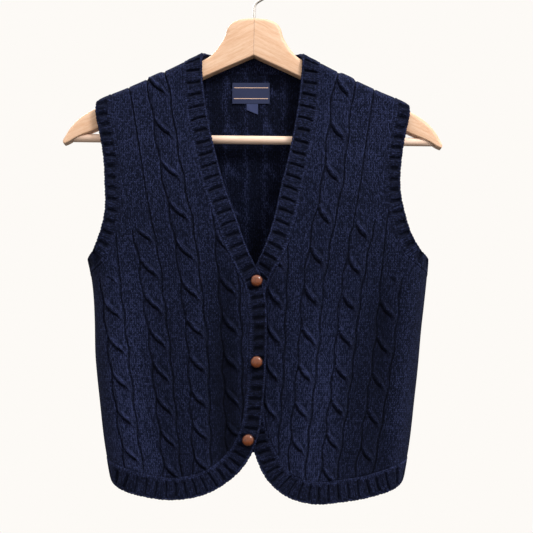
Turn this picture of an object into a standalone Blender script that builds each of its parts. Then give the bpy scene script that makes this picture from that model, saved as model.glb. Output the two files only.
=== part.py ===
"""A cable-knit sweater vest, buttoned at the front, on the wooden hanger that holds it.

Right and left are the wearer's: the wearer's right is -X, the front faces -Y and +Z is up.
The origin is the inner top of the hanger's hook, where a rail carries it.

Cloth is laid out flat first, in two measures in millimetres: "across", from the garment's
centre line round to a side seam, and "run", down from the hook's height and over the
shoulder to its seam.  cloth_surface() bends that flat cloth to the shape it hangs in, and
every cloth piece is a wall on it: outer points raised by knitted relief, inner points plain.
"""
import math

import bmesh
import bpy
import numpy as np
from mathutils import Vector
from mathutils.geometry import delaunay_2d_cdt

MM = 0.001                    # millimetres to metres

# ---- cloth thickness and relief, millimetres ----
WALL = 2.6                    # knitted wall measured at the bottom of a purl groove
PLAIN_RELIEF = 1.2            # plain stockinette above the groove
CABLE_RELIEF = 3.0            # a cable's two strands side by side
CROSSING_RELIEF = 1.5         # what the strand that crosses on top adds
CROSSING_DIP = 1.9            # the strand below sinks by this beside it
RIB_RELIEF = 1.7              # rib ridge above rib valley
EDGE_RELIEF = 0.9             # bound edge of a band
SEAM_RELIEF = 1.3             # picked-up edge where a band joins its panel
SEAM_GAP = 0.3                # between two sewn pieces

# ---- how the vest hangs, millimetres ----
SHOULDER_DEPTH = 10.4         # half depth of the cloth over the hanger
BODY_DEPTH = 28.0             # half depth of the body tube at the hem
DEPTH_RUN = (110.0, 410.0)    # the depth grows between these drops
HANGER_TILT = math.radians(0.7)

# half width of the body, side seam to side seam; above the underarm it leans out and
# only tells how far the armhole edge still is from turning round to the side
HALF_WIDTH = (                # drop, half width
    (110, 284), (330, 207), (356, 198), (378, 194.5), (424, 189.5),
    (470, 186), (516, 180.5), (562, 174.5), (607, 166), (650, 156),
)
CENTRE = (                    # drop, centre line
    (110, -2.4), (240, -2.4), (270, -2.4), (300, 0.0), (334, 1.5), (356, 4.0), (470, 3.0),
    (650, 3.0),
)
SHOULDER_MIDDLE = -2.5        # x of the shoulders' middle
SHOULDER = (                  # distance from the middle, drop of the shoulder seam
    (0, 52), (46, 86), (57, 104.5), (63, 109.2), (75, 115.5), (97, 127), (123, 139.5),
    (150, 152), (178, 164.5), (187, 170), (230, 194),
)
SOFT_FOLDS = (                # side, x at the hem, lean, half width, depth outwards, first drop
    (-1, -128, 0.10, 30, 3.0, 330),
    (-1, -88, 0.16, 22, -2.2, 380),
    (-1, -20, 0.12, 24, -3.2, 400),
    (-1, 62, -0.12, 26, 2.6, 360),
    (-1, 108, -0.10, 24, -2.4, 390),
    (-1, 142, -0.06, 20, 1.8, 430),
    (1, -120, 0.08, 34, 3.2, 300),
    (1, -58, 0.05, 30, -3.0, 250),
    (1, 12, 0.00, 34, 3.4, 230),
    (1, 78, -0.05, 30, -2.8, 280),
    (1, 132, -0.07, 24, 2.4, 340),
)
FOLD_RUN = 120.0              # a fold takes this drop to reach its full depth
HEM_DROP = 600                # where a fold's x is given

# ---- free edges, millimetres ----
ARMHOLE_EDGE = (              # drop, distance from the centre
    (164, 184), (182, 184.5), (206, 179.5), (229, 175), (264, 171.5), (288, 171.5),
    (311, 175), (331, 181), (345, 188),
)
UNDERARM_DROP = 356.0
RIGHT_FRONT_EDGE = (          # x, drop, from the shoulder seam down and round to the side
    (-62, 108), (-61.5, 135), (-55.5, 184), (-45, 231), (-33, 275), (-16, 321.5), (0, 361),
    (8, 376), (12, 394), (14, 458), (11, 513), (4.5, 557), (-7, 583), (-25.5, 604),
    (-51, 619), (-88, 626.5), (-127, 621.5), (-150, 614.5),
)
LEFT_FRONT_EDGE = (           # x, drop
    (56.5, 108), (55.5, 122), (51.5, 165), (44.5, 207), (36.5, 245), (26, 290), (13.5, 335),
    (-0.5, 366), (-8.5, 388), (-11.3, 426), (-11, 514), (-7.5, 551), (0.5, 577),
    (14, 604), (35, 622), (64, 630.5), (98, 629), (134, 622.5), (157, 614.5),
)
BACK_NECK_EDGE = ((54.5, 104.5), (44, 107.0), (24, 106.0), (0, 105.0))   # across, run
HEM_SIDE_DROP = 603.0         # the hem at the side seams
HEM_BACK_DROP = 578.0         # the hem at the middle of the back, which hangs higher

# ---- bands, millimetres ----
BAND_WIDTH = (                # drop, width of the band that edges the neck, fronts and hem
    (100, 24.0), (330, 24.0), (390, 21.5), (540, 21.5), (600, 25.0), (650, 25.0),
)
ARMHOLE_WIDTH = 19.0
NECK_RIB_PITCH = 13.6
FRONT_RIB_PITCH = 12.4
HEM_RIB_PITCH = 12.0
ARMHOLE_RIB_PITCH = 12.8
BAND_SECTION = (0.13, 0.80)   # a rib lies between these parts of its band's width
BAND_TURN = 36.0              # a band's ribs turn along the end seam over this length
NECK_BAND_TURN = 24.0         # the same for the short band of the back neck
UNDERLAP_SINK = 6.2           # the left front passes this far behind the right one
UNDERLAP_REACH = 4.0          # as far as this beyond the right front's edge
UNDERLAP_RUN = 20.0           # and comes forward again over this width

# ---- cable pattern: one repeat is a cable and the plain stitches beside it ----
CABLE_HALF = 0.236            # in widths of a repeat
GROOVE = 0.266                # middle of the purl groove beside a cable
GROOVE_HALF = 0.034
STRAND = 0.12                 # middle of one strand beside the cable's middle
GROUND = 0.325                # the plain stitches next to a groove
SHOULDER_RUN = 130.0          # a run near the shoulder seam, where a column's top is found
TURN_ROWS = (4.0, 9.0, 15.0)  # rows that hold a column's turn over the shoulder, past its seam
BELOW_TURN = 21.0             # and its first row of the pattern below them
CABLE_FADE = 14.0             # a cable that starts below the shoulder swells over this drop
CROSSING_SPAN = 0.27          # half height of a crossing, in its spacing
CROSSING_LEAN = 0.6           # the over strand crosses this part of the cable's half width
CROSSING_WIDTH = 0.36         # half width of its ridge, in the cable's half width
DIP_OFFSET = 0.62             # the dips lie this far beside it
DIP_WIDTH = 0.24
CABLE_FLOOR = 0.15            # no part of a cable lies lower
PATTERN_TOP = 100             # the pattern starts above every shoulder
CROSSINGS = (-4, 13)          # crossings counted down a cable, more than any panel holds
STRAND_PHASES = (-0.19, 0.0, 0.19, 0.5)   # points along a strand, round each crossing
GROOVE_PHASE = 1 / 3          # step of the points along a groove, in crossings
GROUND_PHASE = 0.5            # and along the plain stitches
SHOULDER_POINTS = 8           # panel points along a shoulder seam
SIDE_POINTS = 14              # and down a side seam
RIGHT_FRONT_WALES = (         # drop, x of each cable from the side inwards, width of a repeat
    (110, -205.0, -166.7, -119.7, -52.0, 46.5), (168, -196.0, -156.5, -110.5, -46.0, 46.0),
    (200, -190.0, -150.8, -105.4, -43.0, 46.0), (236, -184.0, -144.5, -99.4, -40.0, 46.0),
    (278, -178.0, -137.3, -90.9, -36.9, 46.5), (311, -173.3, -130.7, -83.7, -34.6, 46.5),
    (358, -167.1, -120.0, -75.9, -31.2, 45.5), (400, -161.6, -114.6, -70.6, -28.2, 44.5),
    (444, -155.3, -108.1, -65.2, -25.8, 43.5), (500, -147.7, -101.9, -62.1, -24.0, 41.5),
    (545, -141.3, -96.9, -60.0, -22.5, 39.5), (600, -131.5, -90.8, -57.5, -20.8, 37.0),
    (640, -124.7, -86.3, -55.7, -19.5, 35.5),
)
LEFT_FRONT_WALES = (          # drop, x of each cable to the side outwards, width of a repeat
    (110, 34.8, 111.8, 159.2, 196.0, 46.5), (168, 32.8, 102.2, 149.9, 187.0, 46.0),
    (200, 31.7, 98.2, 144.8, 182.0, 46.0), (236, 30.5, 93.8, 139.2, 176.0, 46.0),
    (278, 29.0, 87.9, 132.5, 170.0, 46.5), (311, 27.9, 80.2, 126.0, 164.3, 46.5),
    (358, 26.2, 71.5, 116.3, 158.4, 45.5), (400, 24.8, 65.4, 108.7, 153.2, 44.5),
    (444, 23.5, 62.4, 103.5, 148.3, 43.0), (500, 21.3, 56.8, 97.2, 140.1, 41.5),
    (545, 18.4, 51.8, 90.5, 132.4, 39.5), (600, 15.2, 47.0, 82.9, 121.9, 37.0),
    (640, 12.9, 44.0, 77.5, 114.6, 35.5),
)
BACK_SLOTS = (-3.5, -2.5, -1.5, -0.5, 0.5, 1.5, 2.5, 3.5)
BACK_WALES = tuple(           # drop, x of each cable, width of a repeat
    (drop, *(slot * width for slot in BACK_SLOTS), width)
    for drop, width in ((110, 46), (250, 46), (356, 45), (444, 43), (500, 41.5), (640, 35.5))
)
RIGHT_FRONT_CABLES = (        # places outwards, drop of crossing 0, spacing, shrink, start
    (-2, 411, 40.5, 0.0, 372), (-1, 364.4, 40.8, 0.48, 318),
    (0, 198.8, 51.5, 0.97, 60), (1, 383.9, 45.3, 1.10, 60),
)
LEFT_FRONT_CABLES = (         # places outwards, drop of crossing 0, spacing, shrink, start
    (-1, 397.6, 43.0, 0.2, 60), (0, 202.4, 52.0, 0.85, 60),
    (1, 362.1, 41.5, 0.4, 308), (2, 411.2, 40.6, 0.0, 372),
)
BACK_CABLES = tuple(          # the same columns; the outer two on each side start lower
    (slot, 172 + 23 * (int(abs(slot) + 0.5) % 2), 47.5, 0.62,
     {3.5: 378, 2.5: 322}.get(abs(slot), 60))
    for slot in BACK_SLOTS
)

# ---- loose points that hold a panel's bends, millimetres and radians ----
SIDE_DROPS = (336, 620)       # the half rounds at the sides
SIDE_TURNS = (0.12, 1.5, 0.26)            # first, end and step round them
SHOULDER_REACH = (-172, 173, 15.0)        # x along the turn over the shoulders
SHOULDER_TURNS = (0.0, 1.5, 0.36)
SHOULDER_SHIFT = 2.2          # keeps those points off the cables' own
OUTER_SPACING = 16.0          # down the sides, for the outer and the inner sheet
INNER_SPACING = 24.0
INNER_ROWS = (150, 620, 30.0)
INNER_COLUMNS = (-165, 166, 33.0)
UNDERLAP_ROWS = (334, 604, 15.0)
UNDERLAP_COLUMNS = (-2.0, 5.0, 10.0, 15.0, 22.0)   # beside the right front's edge
PATTERN_MARGIN = 3.2          # pattern points keep this far inside a panel's outline
BEND_MARGIN = 4.0
INNER_MARGIN = 8.0
INNER_CLEARANCE = 7.0         # between loose points of the inner sheet

# ---- buttons, label and size tab, millimetres ----
BUTTONS = (                   # name, x, drop
    ("button_top", 2.6, 381.6), ("button_middle", 2.8, 473.2), ("button_low", -6.0, 560.0),
)
BUTTON_DIAMETER = 15.0
BUTTON_HEIGHT = 6.4
BUTTON_GAP = 0.3              # above the band's ribs
BUTTON_SIDES = 16
BUTTON_PROFILE = (            # part of the radius, part of the height
    (0.0, 0.0), (0.86, 0.0), (1.0, 0.30), (0.90, 0.66), (0.58, 0.92), (0.0, 1.0),
)
LABEL_X = (-27.0, 17.5)
LABEL_DROP = (140.5, 165.5)
TAB_X = (-10.0, 3.6)
TAB_DROP = (165.9, 178.5)
TAB_CUT = 5.5                 # how much shorter the tab's slanting side is
LABEL_THICKNESS = 0.6
LABEL_GAP = 0.5               # off the back's inner side

# ---- hanger, millimetres, before its tilt ----
ARM_THICKNESS = 14.0
BAR_DIAMETER = 10.0
BAR_DROP = 212.0
BAR_HALF_LENGTH = 213.0
BORE_GAP = 0.3
WIRE_DIAMETER = 3.5
WIRE_SIDES = 12
HOOK_RADIUS = 20.0            # inside of the hook's bend
HOOK_TIP = math.radians(205)
HOOK_LEAVES = math.radians(-50)
BEND_PULL = 10.0              # how far the wire keeps its direction as it leaves the bend
STEM_PULL = 9.0               # and as it enters the stem
STEM_TOP = 52.0
STEM_END = 84.0
ARM_OUTLINE = (               # distance from the middle, drop, rounding, from the top round
    (0.15, 64.5, 5.0), (10, 65.2, 5.0), (19.5, 67.0, 5.0), (27, 70.8, 5.0), (31.5, 76.5, 5.0),
    (34.3, 86, 5.0), (41, 98.5, 5.0), (50, 110, 5.0), (64, 119.2, 5.0), (97, 134.8, 5.0),
    (123, 147.0, 5.0), (150, 159.5, 5.0), (178, 172.2, 5.0), (189.5, 178.6, 5.0),
    (199, 184.5, 5.0), (207.5, 191.5, 5.0), (215, 200.5, 5.0), (220.5, 210.5, 4.0),
    (223, 217.5, 2.6), (221.5, 220.4, 1.6), (218.5, 219.4, 1.6), (208.5, 213.4, 1.6),
    (184, 202.6, 1.6), (121, 170.2, 1.6), (58, 137.7, 1.6), (0.15, 111.0, 1.6),
)

# colours: name, red, green, blue in linear light, roughness, metallic
NAVY = ("navy_wool", (0.0116, 0.0144, 0.0395), 0.92, 0.0)
LABEL_CLOTH = ("woven_label", (0.042, 0.054, 0.117), 0.75, 0.0)
BEECH = ("lacquered_beech", (0.83, 0.56, 0.36), 0.42, 0.0)
BRIGHT_STEEL = ("plated_steel", (0.62, 0.62, 0.64), 0.25, 1.0)
BROWN_LEATHER = ("brown_leather", (0.31, 0.10, 0.042), 0.45, 0.0)


# ------------------------------------------------------------------ smooth tables

def smooth_table(at, table, column=1):
    """A smooth curve through one column of a table, by its first column; flat past its ends."""
    rows = np.asarray(table, dtype=float)
    knots = rows[:, 0]
    values = rows[:, column]
    slopes = np.gradient(values, knots)
    slopes[0] = slopes[-1] = 0.0
    at = np.clip(np.asarray(at, dtype=float), knots[0], knots[-1])
    cell = np.clip(np.searchsorted(knots, at) - 1, 0, len(knots) - 2)
    width = knots[cell + 1] - knots[cell]
    part = (at - knots[cell]) / width
    return (values[cell] * (1 + 2 * part) * (1 - part) ** 2
            + slopes[cell] * width * part * (1 - part) ** 2
            + values[cell + 1] * part ** 2 * (3 - 2 * part)
            - slopes[cell + 1] * width * part ** 2 * (1 - part))


def smooth_step(part):
    """0 below 0, 1 above 1 and a soft ramp between."""
    part = np.clip(part, 0.0, 1.0)
    return part * part * (3 - 2 * part)


def smooth_path(points, spacing=1.0):
    """A finely divided smooth line through flat points, as an array of points."""
    points = np.asarray(points, dtype=float)
    reach = np.concatenate([[0.0], np.cumsum(np.linalg.norm(np.diff(points, axis=0), axis=1))])
    rows = np.column_stack([reach, points])
    fine = np.linspace(0.0, reach[-1], int(reach[-1] / spacing) + 2)
    line = []
    for column in (1, 2):
        values = rows[:, column]
        slopes = np.gradient(values, reach)
        cell = np.clip(np.searchsorted(reach, fine) - 1, 0, len(reach) - 2)
        width = reach[cell + 1] - reach[cell]
        part = (fine - reach[cell]) / width
        line.append(values[cell] * (1 + 2 * part) * (1 - part) ** 2
                    + slopes[cell] * width * part * (1 - part) ** 2
                    + values[cell + 1] * part ** 2 * (3 - 2 * part)
                    - slopes[cell + 1] * width * part ** 2 * (1 - part))
    return np.column_stack(line)


def divide_path(path, count):
    """count + 1 points evenly spaced along a path."""
    reach = np.concatenate([[0.0], np.cumsum(np.linalg.norm(np.diff(path, axis=0), axis=1))])
    stops = np.linspace(0.0, reach[-1], count + 1)
    return np.column_stack([np.interp(stops, reach, path[:, k]) for k in (0, 1)])


def path_length(path):
    """Length of a path."""
    return float(np.linalg.norm(np.diff(path, axis=0), axis=1).sum())


# ------------------------------------------------------------------ the hanging surface

def half_depth(drop):
    """Half of the body tube's depth at a drop."""
    start, end = DEPTH_RUN
    part = smooth_step((np.asarray(drop, dtype=float) - start) / (end - start))
    return SHOULDER_DEPTH + (BODY_DEPTH - SHOULDER_DEPTH) * part


def half_width(drop):
    """Half of the body's width on the base surface at a drop."""
    return smooth_table(drop, HALF_WIDTH) - PLAIN_RELIEF


def shoulder_drop(x):
    """Drop of the shoulder's top line on the base surface, with the hanger's tilt."""
    x = np.asarray(x, dtype=float)
    return (smooth_table(np.abs(x - SHOULDER_MIDDLE), SHOULDER) + x * math.tan(HANGER_TILT)
            + PLAIN_RELIEF)


def shoulder_seam_run(x):
    """Run of the shoulder seam, where the cloth is level on top of the hanger."""
    return shoulder_drop(x) + SHOULDER_DEPTH * (1 - math.pi / 2)


def side_seam_across(run):
    """Distance of the side seam from the centre line, measured round the body."""
    return half_width(run) + half_depth(run) * (math.pi / 2 - 1)


def unroll(x, drop):
    """Distance round the body from the centre line of a point seen at x from the front."""
    offset = np.asarray(x, dtype=float) - smooth_table(drop, CENTRE)
    radius = half_depth(drop)
    flat = half_width(drop) - radius
    turned = np.clip((np.abs(offset) - flat) / radius, 0.0, 1.0)
    return np.sign(offset) * np.where(turned > 0, flat + radius * np.arcsin(turned),
                                      np.abs(offset))


def front_edge_x(drop):
    """The right front's free edge, which lies on top, as x by drop."""
    rows = [(row_drop, x) for x, row_drop in RIGHT_FRONT_EDGE[:16]]
    return smooth_table(drop, rows)


def folds(x, drop, side):
    """How far soft hanging folds stand out of the body on one side."""
    height = np.zeros_like(x)
    for fold_side, hem_x, lean, width, depth, first in SOFT_FOLDS:
        if fold_side != side:
            continue
        line = hem_x - lean * (HEM_DROP - drop)
        height = height + (depth * np.exp(-((x - line) / width) ** 2)
                           * smooth_step((drop - first) / FOLD_RUN))
    return height


def cloth_surface(across, run, side, under=False):
    """Bend flat cloth to its hanging shape.

    across, run: arrays of flat measures.  side: -1 for the front, 1 for the back.
    under: the front that passes behind the other at the button band.
    Down the body the section is two flat faces joined by half rounds at the sides, and at
    the shoulder the cloth turns over the hanger on a quarter round.
    """
    across = np.asarray(across, dtype=float)
    run = np.asarray(run, dtype=float)
    top = shoulder_drop(across + smooth_table(run, CENTRE))
    over = np.clip((top + SHOULDER_DEPTH - run) / SHOULDER_DEPTH, 0.0, math.pi / 2)
    drop = np.where(over > 0, top + SHOULDER_DEPTH * (1 - np.sin(over)), run)
    radius = half_depth(drop)
    flat = half_width(drop) - radius
    turn = np.clip((np.abs(across) - flat) / radius, 0.0, math.pi / 2)
    centre = smooth_table(drop, CENTRE)
    x = centre + np.sign(across) * np.where(turn > 0, flat + radius * np.sin(turn),
                                            np.abs(across))
    facing = np.cos(turn) * np.cos(over)
    depth = radius * facing + folds(x, drop, side) * facing ** 2
    if under:
        beside = (x - front_edge_x(drop) - UNDERLAP_REACH) / UNDERLAP_RUN
        depth = depth - UNDERLAP_SINK * smooth_step(1 - beside)
    return np.stack([x, side * depth, -drop], axis=-1)


def cloth_normal(across, run, side, under=False):
    """Outward direction of the hanging surface."""
    step = 0.05
    seam = shoulder_seam_run(across + smooth_table(run, CENTRE))
    run = np.maximum(run, seam + 1.5 * step)
    across = np.sign(across) * np.minimum(np.abs(across), side_seam_across(run) - 1.5 * step)
    along = (cloth_surface(across + step, run, side, under)
             - cloth_surface(across - step, run, side, under))
    down = (cloth_surface(across, run + step, side, under)
            - cloth_surface(across, run - step, side, under))
    normal = side * np.cross(along, down)
    return normal / np.linalg.norm(normal, axis=-1, keepdims=True)


def raised(across, run, side, height, under=False):
    """Points a height outside the base surface; negative heights are inside."""
    height = np.asarray(height, dtype=float)[..., None]
    return (cloth_surface(across, run, side, under)
            + cloth_normal(across, run, side, under) * height)


# ------------------------------------------------------------------ cable relief

class CablePanel:
    """The cable pattern of one panel: where each cable lies and how high its knitting is."""

    def __init__(self, side, wales, cables, under=False):
        self.side = side
        self.wales = wales
        self.cables = cables
        self.under = under

    def cable_across(self, place, run):
        """Distance across of the middle of one cable, by its place in the table, at a run."""
        return smooth_table(run, self.wales, 1 + place) - smooth_table(run, CENTRE)

    def repeat_width(self, run):
        """Width of one pattern repeat at a run."""
        return smooth_table(run, self.wales, 1 + len(self.cables))

    def relief(self, across, run):
        """Height of the knitting over the base surface."""
        height = np.full_like(across, PLAIN_RELIEF)
        for place, (outwards, first, spacing, shrink, start) in enumerate(self.cables):
            aside = (across - self.cable_across(place, run)) / self.repeat_width(run)
            begun = smooth_step((run - start) / CABLE_FADE)
            inner_side = np.sign(aside) != np.sign(outwards)
            groove_begun = np.where(inner_side, 1.0, begun)
            groove = np.exp(-((np.abs(aside) - GROOVE) / GROOVE_HALF) ** 4)
            height = np.where(np.abs(aside) >= CABLE_HALF,
                              height - PLAIN_RELIEF * groove * groove_begun, height)
            inside = np.abs(aside) < CABLE_HALF
            phase = crossing_phase(run, first, spacing, shrink)
            cable = cable_height(aside / CABLE_HALF, phase)
            height = np.where(inside, PLAIN_RELIEF + (cable - PLAIN_RELIEF) * begun, height)
        return height


def crossing_drop(phase, first, spacing, shrink):
    """Drop of a place along a cable, counted in crossings."""
    return first + spacing * phase - shrink * phase * phase


def crossing_phase(run, first, spacing, shrink):
    """Place along a cable at a run, counted in crossings."""
    if shrink == 0:
        return (run - first) / spacing
    root = np.sqrt(np.maximum(spacing ** 2 - 4 * shrink * (run - first), 1.0))
    return (spacing - root) / (2 * shrink)


def cable_height(lateral, phase):
    """Height of a two-strand cable.

    lateral runs from -1 to 1 over its width, and a crossing lies at each whole phase, where
    the strand from the upper left passes over to the lower right.
    """
    lateral = np.clip(lateral, -1.0, 1.0)
    pad = CABLE_RELIEF * np.sqrt(np.clip(1 - lateral ** 4, 0.0, 1.0))
    place = (phase - np.round(phase)) / CROSSING_SPAN
    window = smooth_step(1.6 - 1.6 * np.abs(place))
    offset = lateral - CROSSING_LEAN * np.clip(place, -1.0, 1.0)
    lobe = CROSSING_RELIEF * np.exp(-(offset / CROSSING_WIDTH) ** 2)
    dips = CROSSING_DIP * (np.exp(-((offset + DIP_OFFSET) / DIP_WIDTH) ** 2)
                           + np.exp(-((offset - DIP_OFFSET) / DIP_WIDTH) ** 2))
    edge = np.sqrt(np.clip(1 - lateral ** 4, 0.0, 1.0))
    return np.maximum(pad + window * (lobe - dips) * edge, CABLE_FLOOR)


# ------------------------------------------------------------------ flat geometry

def inside_margin(points, outline):
    """Signed distance of flat points inside a closed outline; outside is negative."""
    start = outline
    end = np.roll(outline, -1, axis=0)
    edge = end - start
    offset = points[:, None, :] - start[None, :, :]
    part = np.clip((offset * edge).sum(-1) / (edge ** 2).sum(-1), 0.0, 1.0)
    distance = np.linalg.norm(offset - part[..., None] * edge, axis=-1).min(axis=1)
    above = points[:, None, 1] < end[None, :, 1]
    crosses = (points[:, None, 1] < start[None, :, 1]) != above
    with np.errstate(divide="ignore", invalid="ignore"):
        reach = start[:, 0] + (points[:, None, 1] - start[:, 1]) / edge[:, 1] * edge[:, 0]
    inside = (crosses & (points[:, None, 0] < reach)).sum(axis=1) % 2 == 1
    return np.where(inside, distance, -distance)


def chain_points(columns, outline, margin):
    """Keep the parts of columns that lie inside an outline, with the links along them."""
    kept = []
    links = []
    for column in columns:
        inside = inside_margin(column, outline) > margin
        for place, point in enumerate(column):
            if not inside[place]:
                continue
            if place > 0 and inside[place - 1]:
                links.append((len(kept) - 1, len(kept)))
            kept.append(point)
    return np.array(kept).reshape(-1, 2), links


def scatter_points(points, outline, margin, others, clearance):
    """Keep flat points inside an outline and away from others already placed."""
    points = points[inside_margin(points, outline) > margin]
    if len(others) and len(points):
        near = np.linalg.norm(points[:, None] - others[None], axis=-1).min(axis=1)
        points = points[near > clearance]
    return points


def triangulate(outline, points, links):
    """Triangles inside an outline: all points, triangles and where the outline's points went."""
    count = len(outline)
    flat = [Vector(point) for point in np.vstack([outline, points])]
    edges = [(place, (place + 1) % count) for place in range(count)]
    edges += [(first + count, second + count) for first, second in links]
    places, _, triangles, origins, _, _ = delaunay_2d_cdt(flat, edges, [], 1, 1e-4)
    found = {}
    for place, sources in enumerate(origins):
        for source in sources:
            found[source] = place
    rim = [found[place] for place in range(count)]
    return np.array([tuple(place) for place in places]), triangles, rim


# ------------------------------------------------------------------ making objects

def make_material(name, finish):
    """A plain finish for one object."""
    label, colour, roughness, metallic = finish
    material = bpy.data.materials.new(f"{label}_{name}")
    material.use_nodes = True
    shader = material.node_tree.nodes["Principled BSDF"]
    shader.inputs["Base Color"].default_value = (*colour, 1.0)
    shader.inputs["Roughness"].default_value = roughness
    shader.inputs["Metallic"].default_value = metallic
    material.diffuse_color = (*colour, 1.0)
    return material


def make_object(name, points, faces, finish):
    """A closed object from points in millimetres, its faces turned outwards."""
    mesh = bpy.data.meshes.new(name)
    mesh.from_pydata([tuple(point) for point in np.asarray(points) * MM], [], faces)
    shell = bmesh.new()
    shell.from_mesh(mesh)
    bmesh.ops.recalc_face_normals(shell, faces=shell.faces)
    if shell.calc_volume(signed=True) < 0:
        bmesh.ops.reverse_faces(shell, faces=shell.faces)
    shell.to_mesh(mesh)
    shell.free()
    made = bpy.data.objects.new(name, mesh)
    made.data.materials.append(make_material(name, finish))
    bpy.context.scene.collection.objects.link(made)
    return made


def split_four(points, corners):
    """Cut a four-sided face along its shorter diagonal, as its neighbour over a seam is cut."""
    first, second, third, fourth = corners
    if (np.linalg.norm(points[first] - points[third])
            <= np.linalg.norm(points[second] - points[fourth])):
        return [(first, second, third), (first, third, fourth)]
    return [(first, second, fourth), (second, third, fourth)]


def wall_object(name, outer, outer_faces, outer_rim, inner, inner_faces, inner_rim):
    """A cloth wall from an outer and an inner sheet whose edges match point for point."""
    shift = len(outer)
    points = np.vstack([outer, inner])
    faces = [tuple(face) for face in outer_faces]
    faces += [tuple(shift + corner for corner in reversed(face)) for face in inner_faces]
    count = len(outer_rim)
    for place in range(count):
        after = (place + 1) % count
        faces += split_four(points, (outer_rim[after], outer_rim[place],
                                     shift + inner_rim[place], shift + inner_rim[after]))
    return make_object(name, points, faces, NAVY)


# ------------------------------------------------------------------ bands

def on_shoulder(points):
    """Move flat points along their run onto the shoulder seam."""
    across = points[..., 0]
    run = shoulder_seam_run(across + smooth_table(points[..., 1], CENTRE))
    return np.stack([across, run], axis=-1)


def on_side(points):
    """Move flat points across onto their side seam."""
    run = points[..., 1]
    return np.stack([np.copysign(side_seam_across(run), points[..., 0]), run], axis=-1)


def along_seam(hold, start, guess, distance):
    """Flat direction from a point on a seam to the seam's point a distance away."""
    direction = np.array(guess, dtype=float)
    for _ in range(5):
        away = hold(start + distance * direction) - start
        direction = away / np.linalg.norm(away)
    return direction


class Band:
    """A ribbed band along a free edge, from one sewn end to the other.

    ends: for its start and its end, the function that holds flat points on the seam there
    and a first guess of the direction from the free edge along that seam.
    """

    def __init__(self, edge, width, ends, pitch, side, under=False, turn=BAND_TURN):
        length = path_length(edge)
        self.ribs = max(2, round(length / pitch))
        self.side = side
        self.under = under
        self.ends = ends
        self.edge = divide_path(edge, 2 * self.ribs)
        self.width = width(self.edge[:, 1])
        start, end = (along_seam(hold, self.edge[place], guess, self.width[place])
                      for place, (hold, guess) in zip((0, -1), ends))
        tangent = np.gradient(self.edge, axis=0)
        tangent /= np.linalg.norm(tangent, axis=1, keepdims=True)
        normal = np.column_stack([-tangent[:, 1], tangent[:, 0]])
        if np.dot(normal[0], start) + np.dot(normal[-1], end) < 0:
            normal = -normal
        reach = np.linspace(0.0, length, len(self.edge))
        near_start = smooth_step(1 - reach / turn)[:, None]
        near_end = smooth_step(1 - (length - reach) / turn)[:, None]
        direction = (normal * (1 - near_start) * (1 - near_end)
                     + start * near_start + end * near_end)
        self.direction = direction / np.linalg.norm(direction, axis=1, keepdims=True)

    def line(self, distance):
        """Flat points at each point's own distance from the free edge."""
        points = self.edge + self.direction * distance[:, None]
        for place, (hold, _) in zip((0, -1), self.ends):
            points[place] = hold(points[place])
        return points

    def seam(self):
        """The line where the panel ends, a seam gap beyond the band."""
        return self.line(self.width + SEAM_GAP)

    def sections(self):
        """Six points round each section: four outside, then two inside."""
        ridge = (np.arange(len(self.edge)) % 2) * RIB_RELIEF
        flat_heights = (
            (0.0, np.full(len(self.edge), EDGE_RELIEF)),
            *((part, ridge) for part in BAND_SECTION),
            (1.0, np.full(len(self.edge), SEAM_RELIEF)),
            (1.0, np.full(len(self.edge), -WALL)),
            (0.0, np.full(len(self.edge), -WALL)),
        )
        rows = []
        for part, height in flat_heights:
            flat = self.line(self.width * part)
            rows.append(raised(flat[:, 0], flat[:, 1], self.side, height, self.under))
        return np.stack(rows, axis=1)


def band_object(name, sections, closed=False):
    """A band as a tube of six-sided sections."""
    count, corners = sections.shape[:2]
    points = sections.reshape(-1, 3)
    faces = []
    for place in range(count if closed else count - 1):
        here = place * corners
        there = ((place + 1) % count) * corners
        for corner in range(corners):
            after = (corner + 1) % corners
            faces += split_four(points, (here + corner, here + after, there + after,
                                         there + corner))
    if not closed:
        faces.append(tuple(range(corners)))
        last = (count - 1) * corners
        faces.append(tuple(last + corner for corner in reversed(range(corners))))
    return make_object(name, points, faces, NAVY)


def band_width(run):
    """Width of the neck, front and hem band."""
    return smooth_table(run, BAND_WIDTH)


def armhole_width(run):
    """Width of an armhole band, the same all round."""
    return np.full(run.shape, ARMHOLE_WIDTH)


def front_edge_path(rows, hand):
    """A front's free edge from its shoulder seam to its side seam, in flat measures."""
    x = np.array([row[0] for row in rows], dtype=float)
    drop = np.array([row[1] for row in rows], dtype=float)
    points = np.column_stack([unroll(x, drop), drop])
    points[0, 1] = shoulder_seam_run(x[0])
    end = np.array([[hand * side_seam_across(HEM_SIDE_DROP), HEM_SIDE_DROP]])
    return smooth_path(np.vstack([points, end]))


def armhole_path(hand):
    """An armhole's free edge from the shoulder seam to the underarm, in flat measures."""
    drop = np.array([row[0] for row in ARMHOLE_EDGE], dtype=float)
    reach = np.array([row[1] for row in ARMHOLE_EDGE], dtype=float)
    centre = smooth_table(drop, CENTRE)
    across = np.abs(unroll(centre + reach, drop))
    across[0] = reach[0]
    drop[0] = shoulder_seam_run(hand * reach[0] + centre[0])
    under = [[side_seam_across(UNDERARM_DROP), UNDERARM_DROP]]
    points = np.vstack([np.column_stack([across, drop]), under])
    path = smooth_path(points)
    return path * np.array([hand, 1.0])


def back_neck_path():
    """The back's neck edge from shoulder seam to shoulder seam, in flat measures."""
    half = np.array(BACK_NECK_EDGE, dtype=float)
    right = RIGHT_FRONT_EDGE[0][0]
    left = LEFT_FRONT_EDGE[0][0]
    centre = float(smooth_table(BACK_NECK_EDGE[0][1], CENTRE))
    start = [[right - centre, shoulder_seam_run(right)]]
    end = [[left - centre, shoulder_seam_run(left)]]
    points = np.vstack([start, half * (-1, 1), half[-2::-1], end])
    return smooth_path(points)


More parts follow.
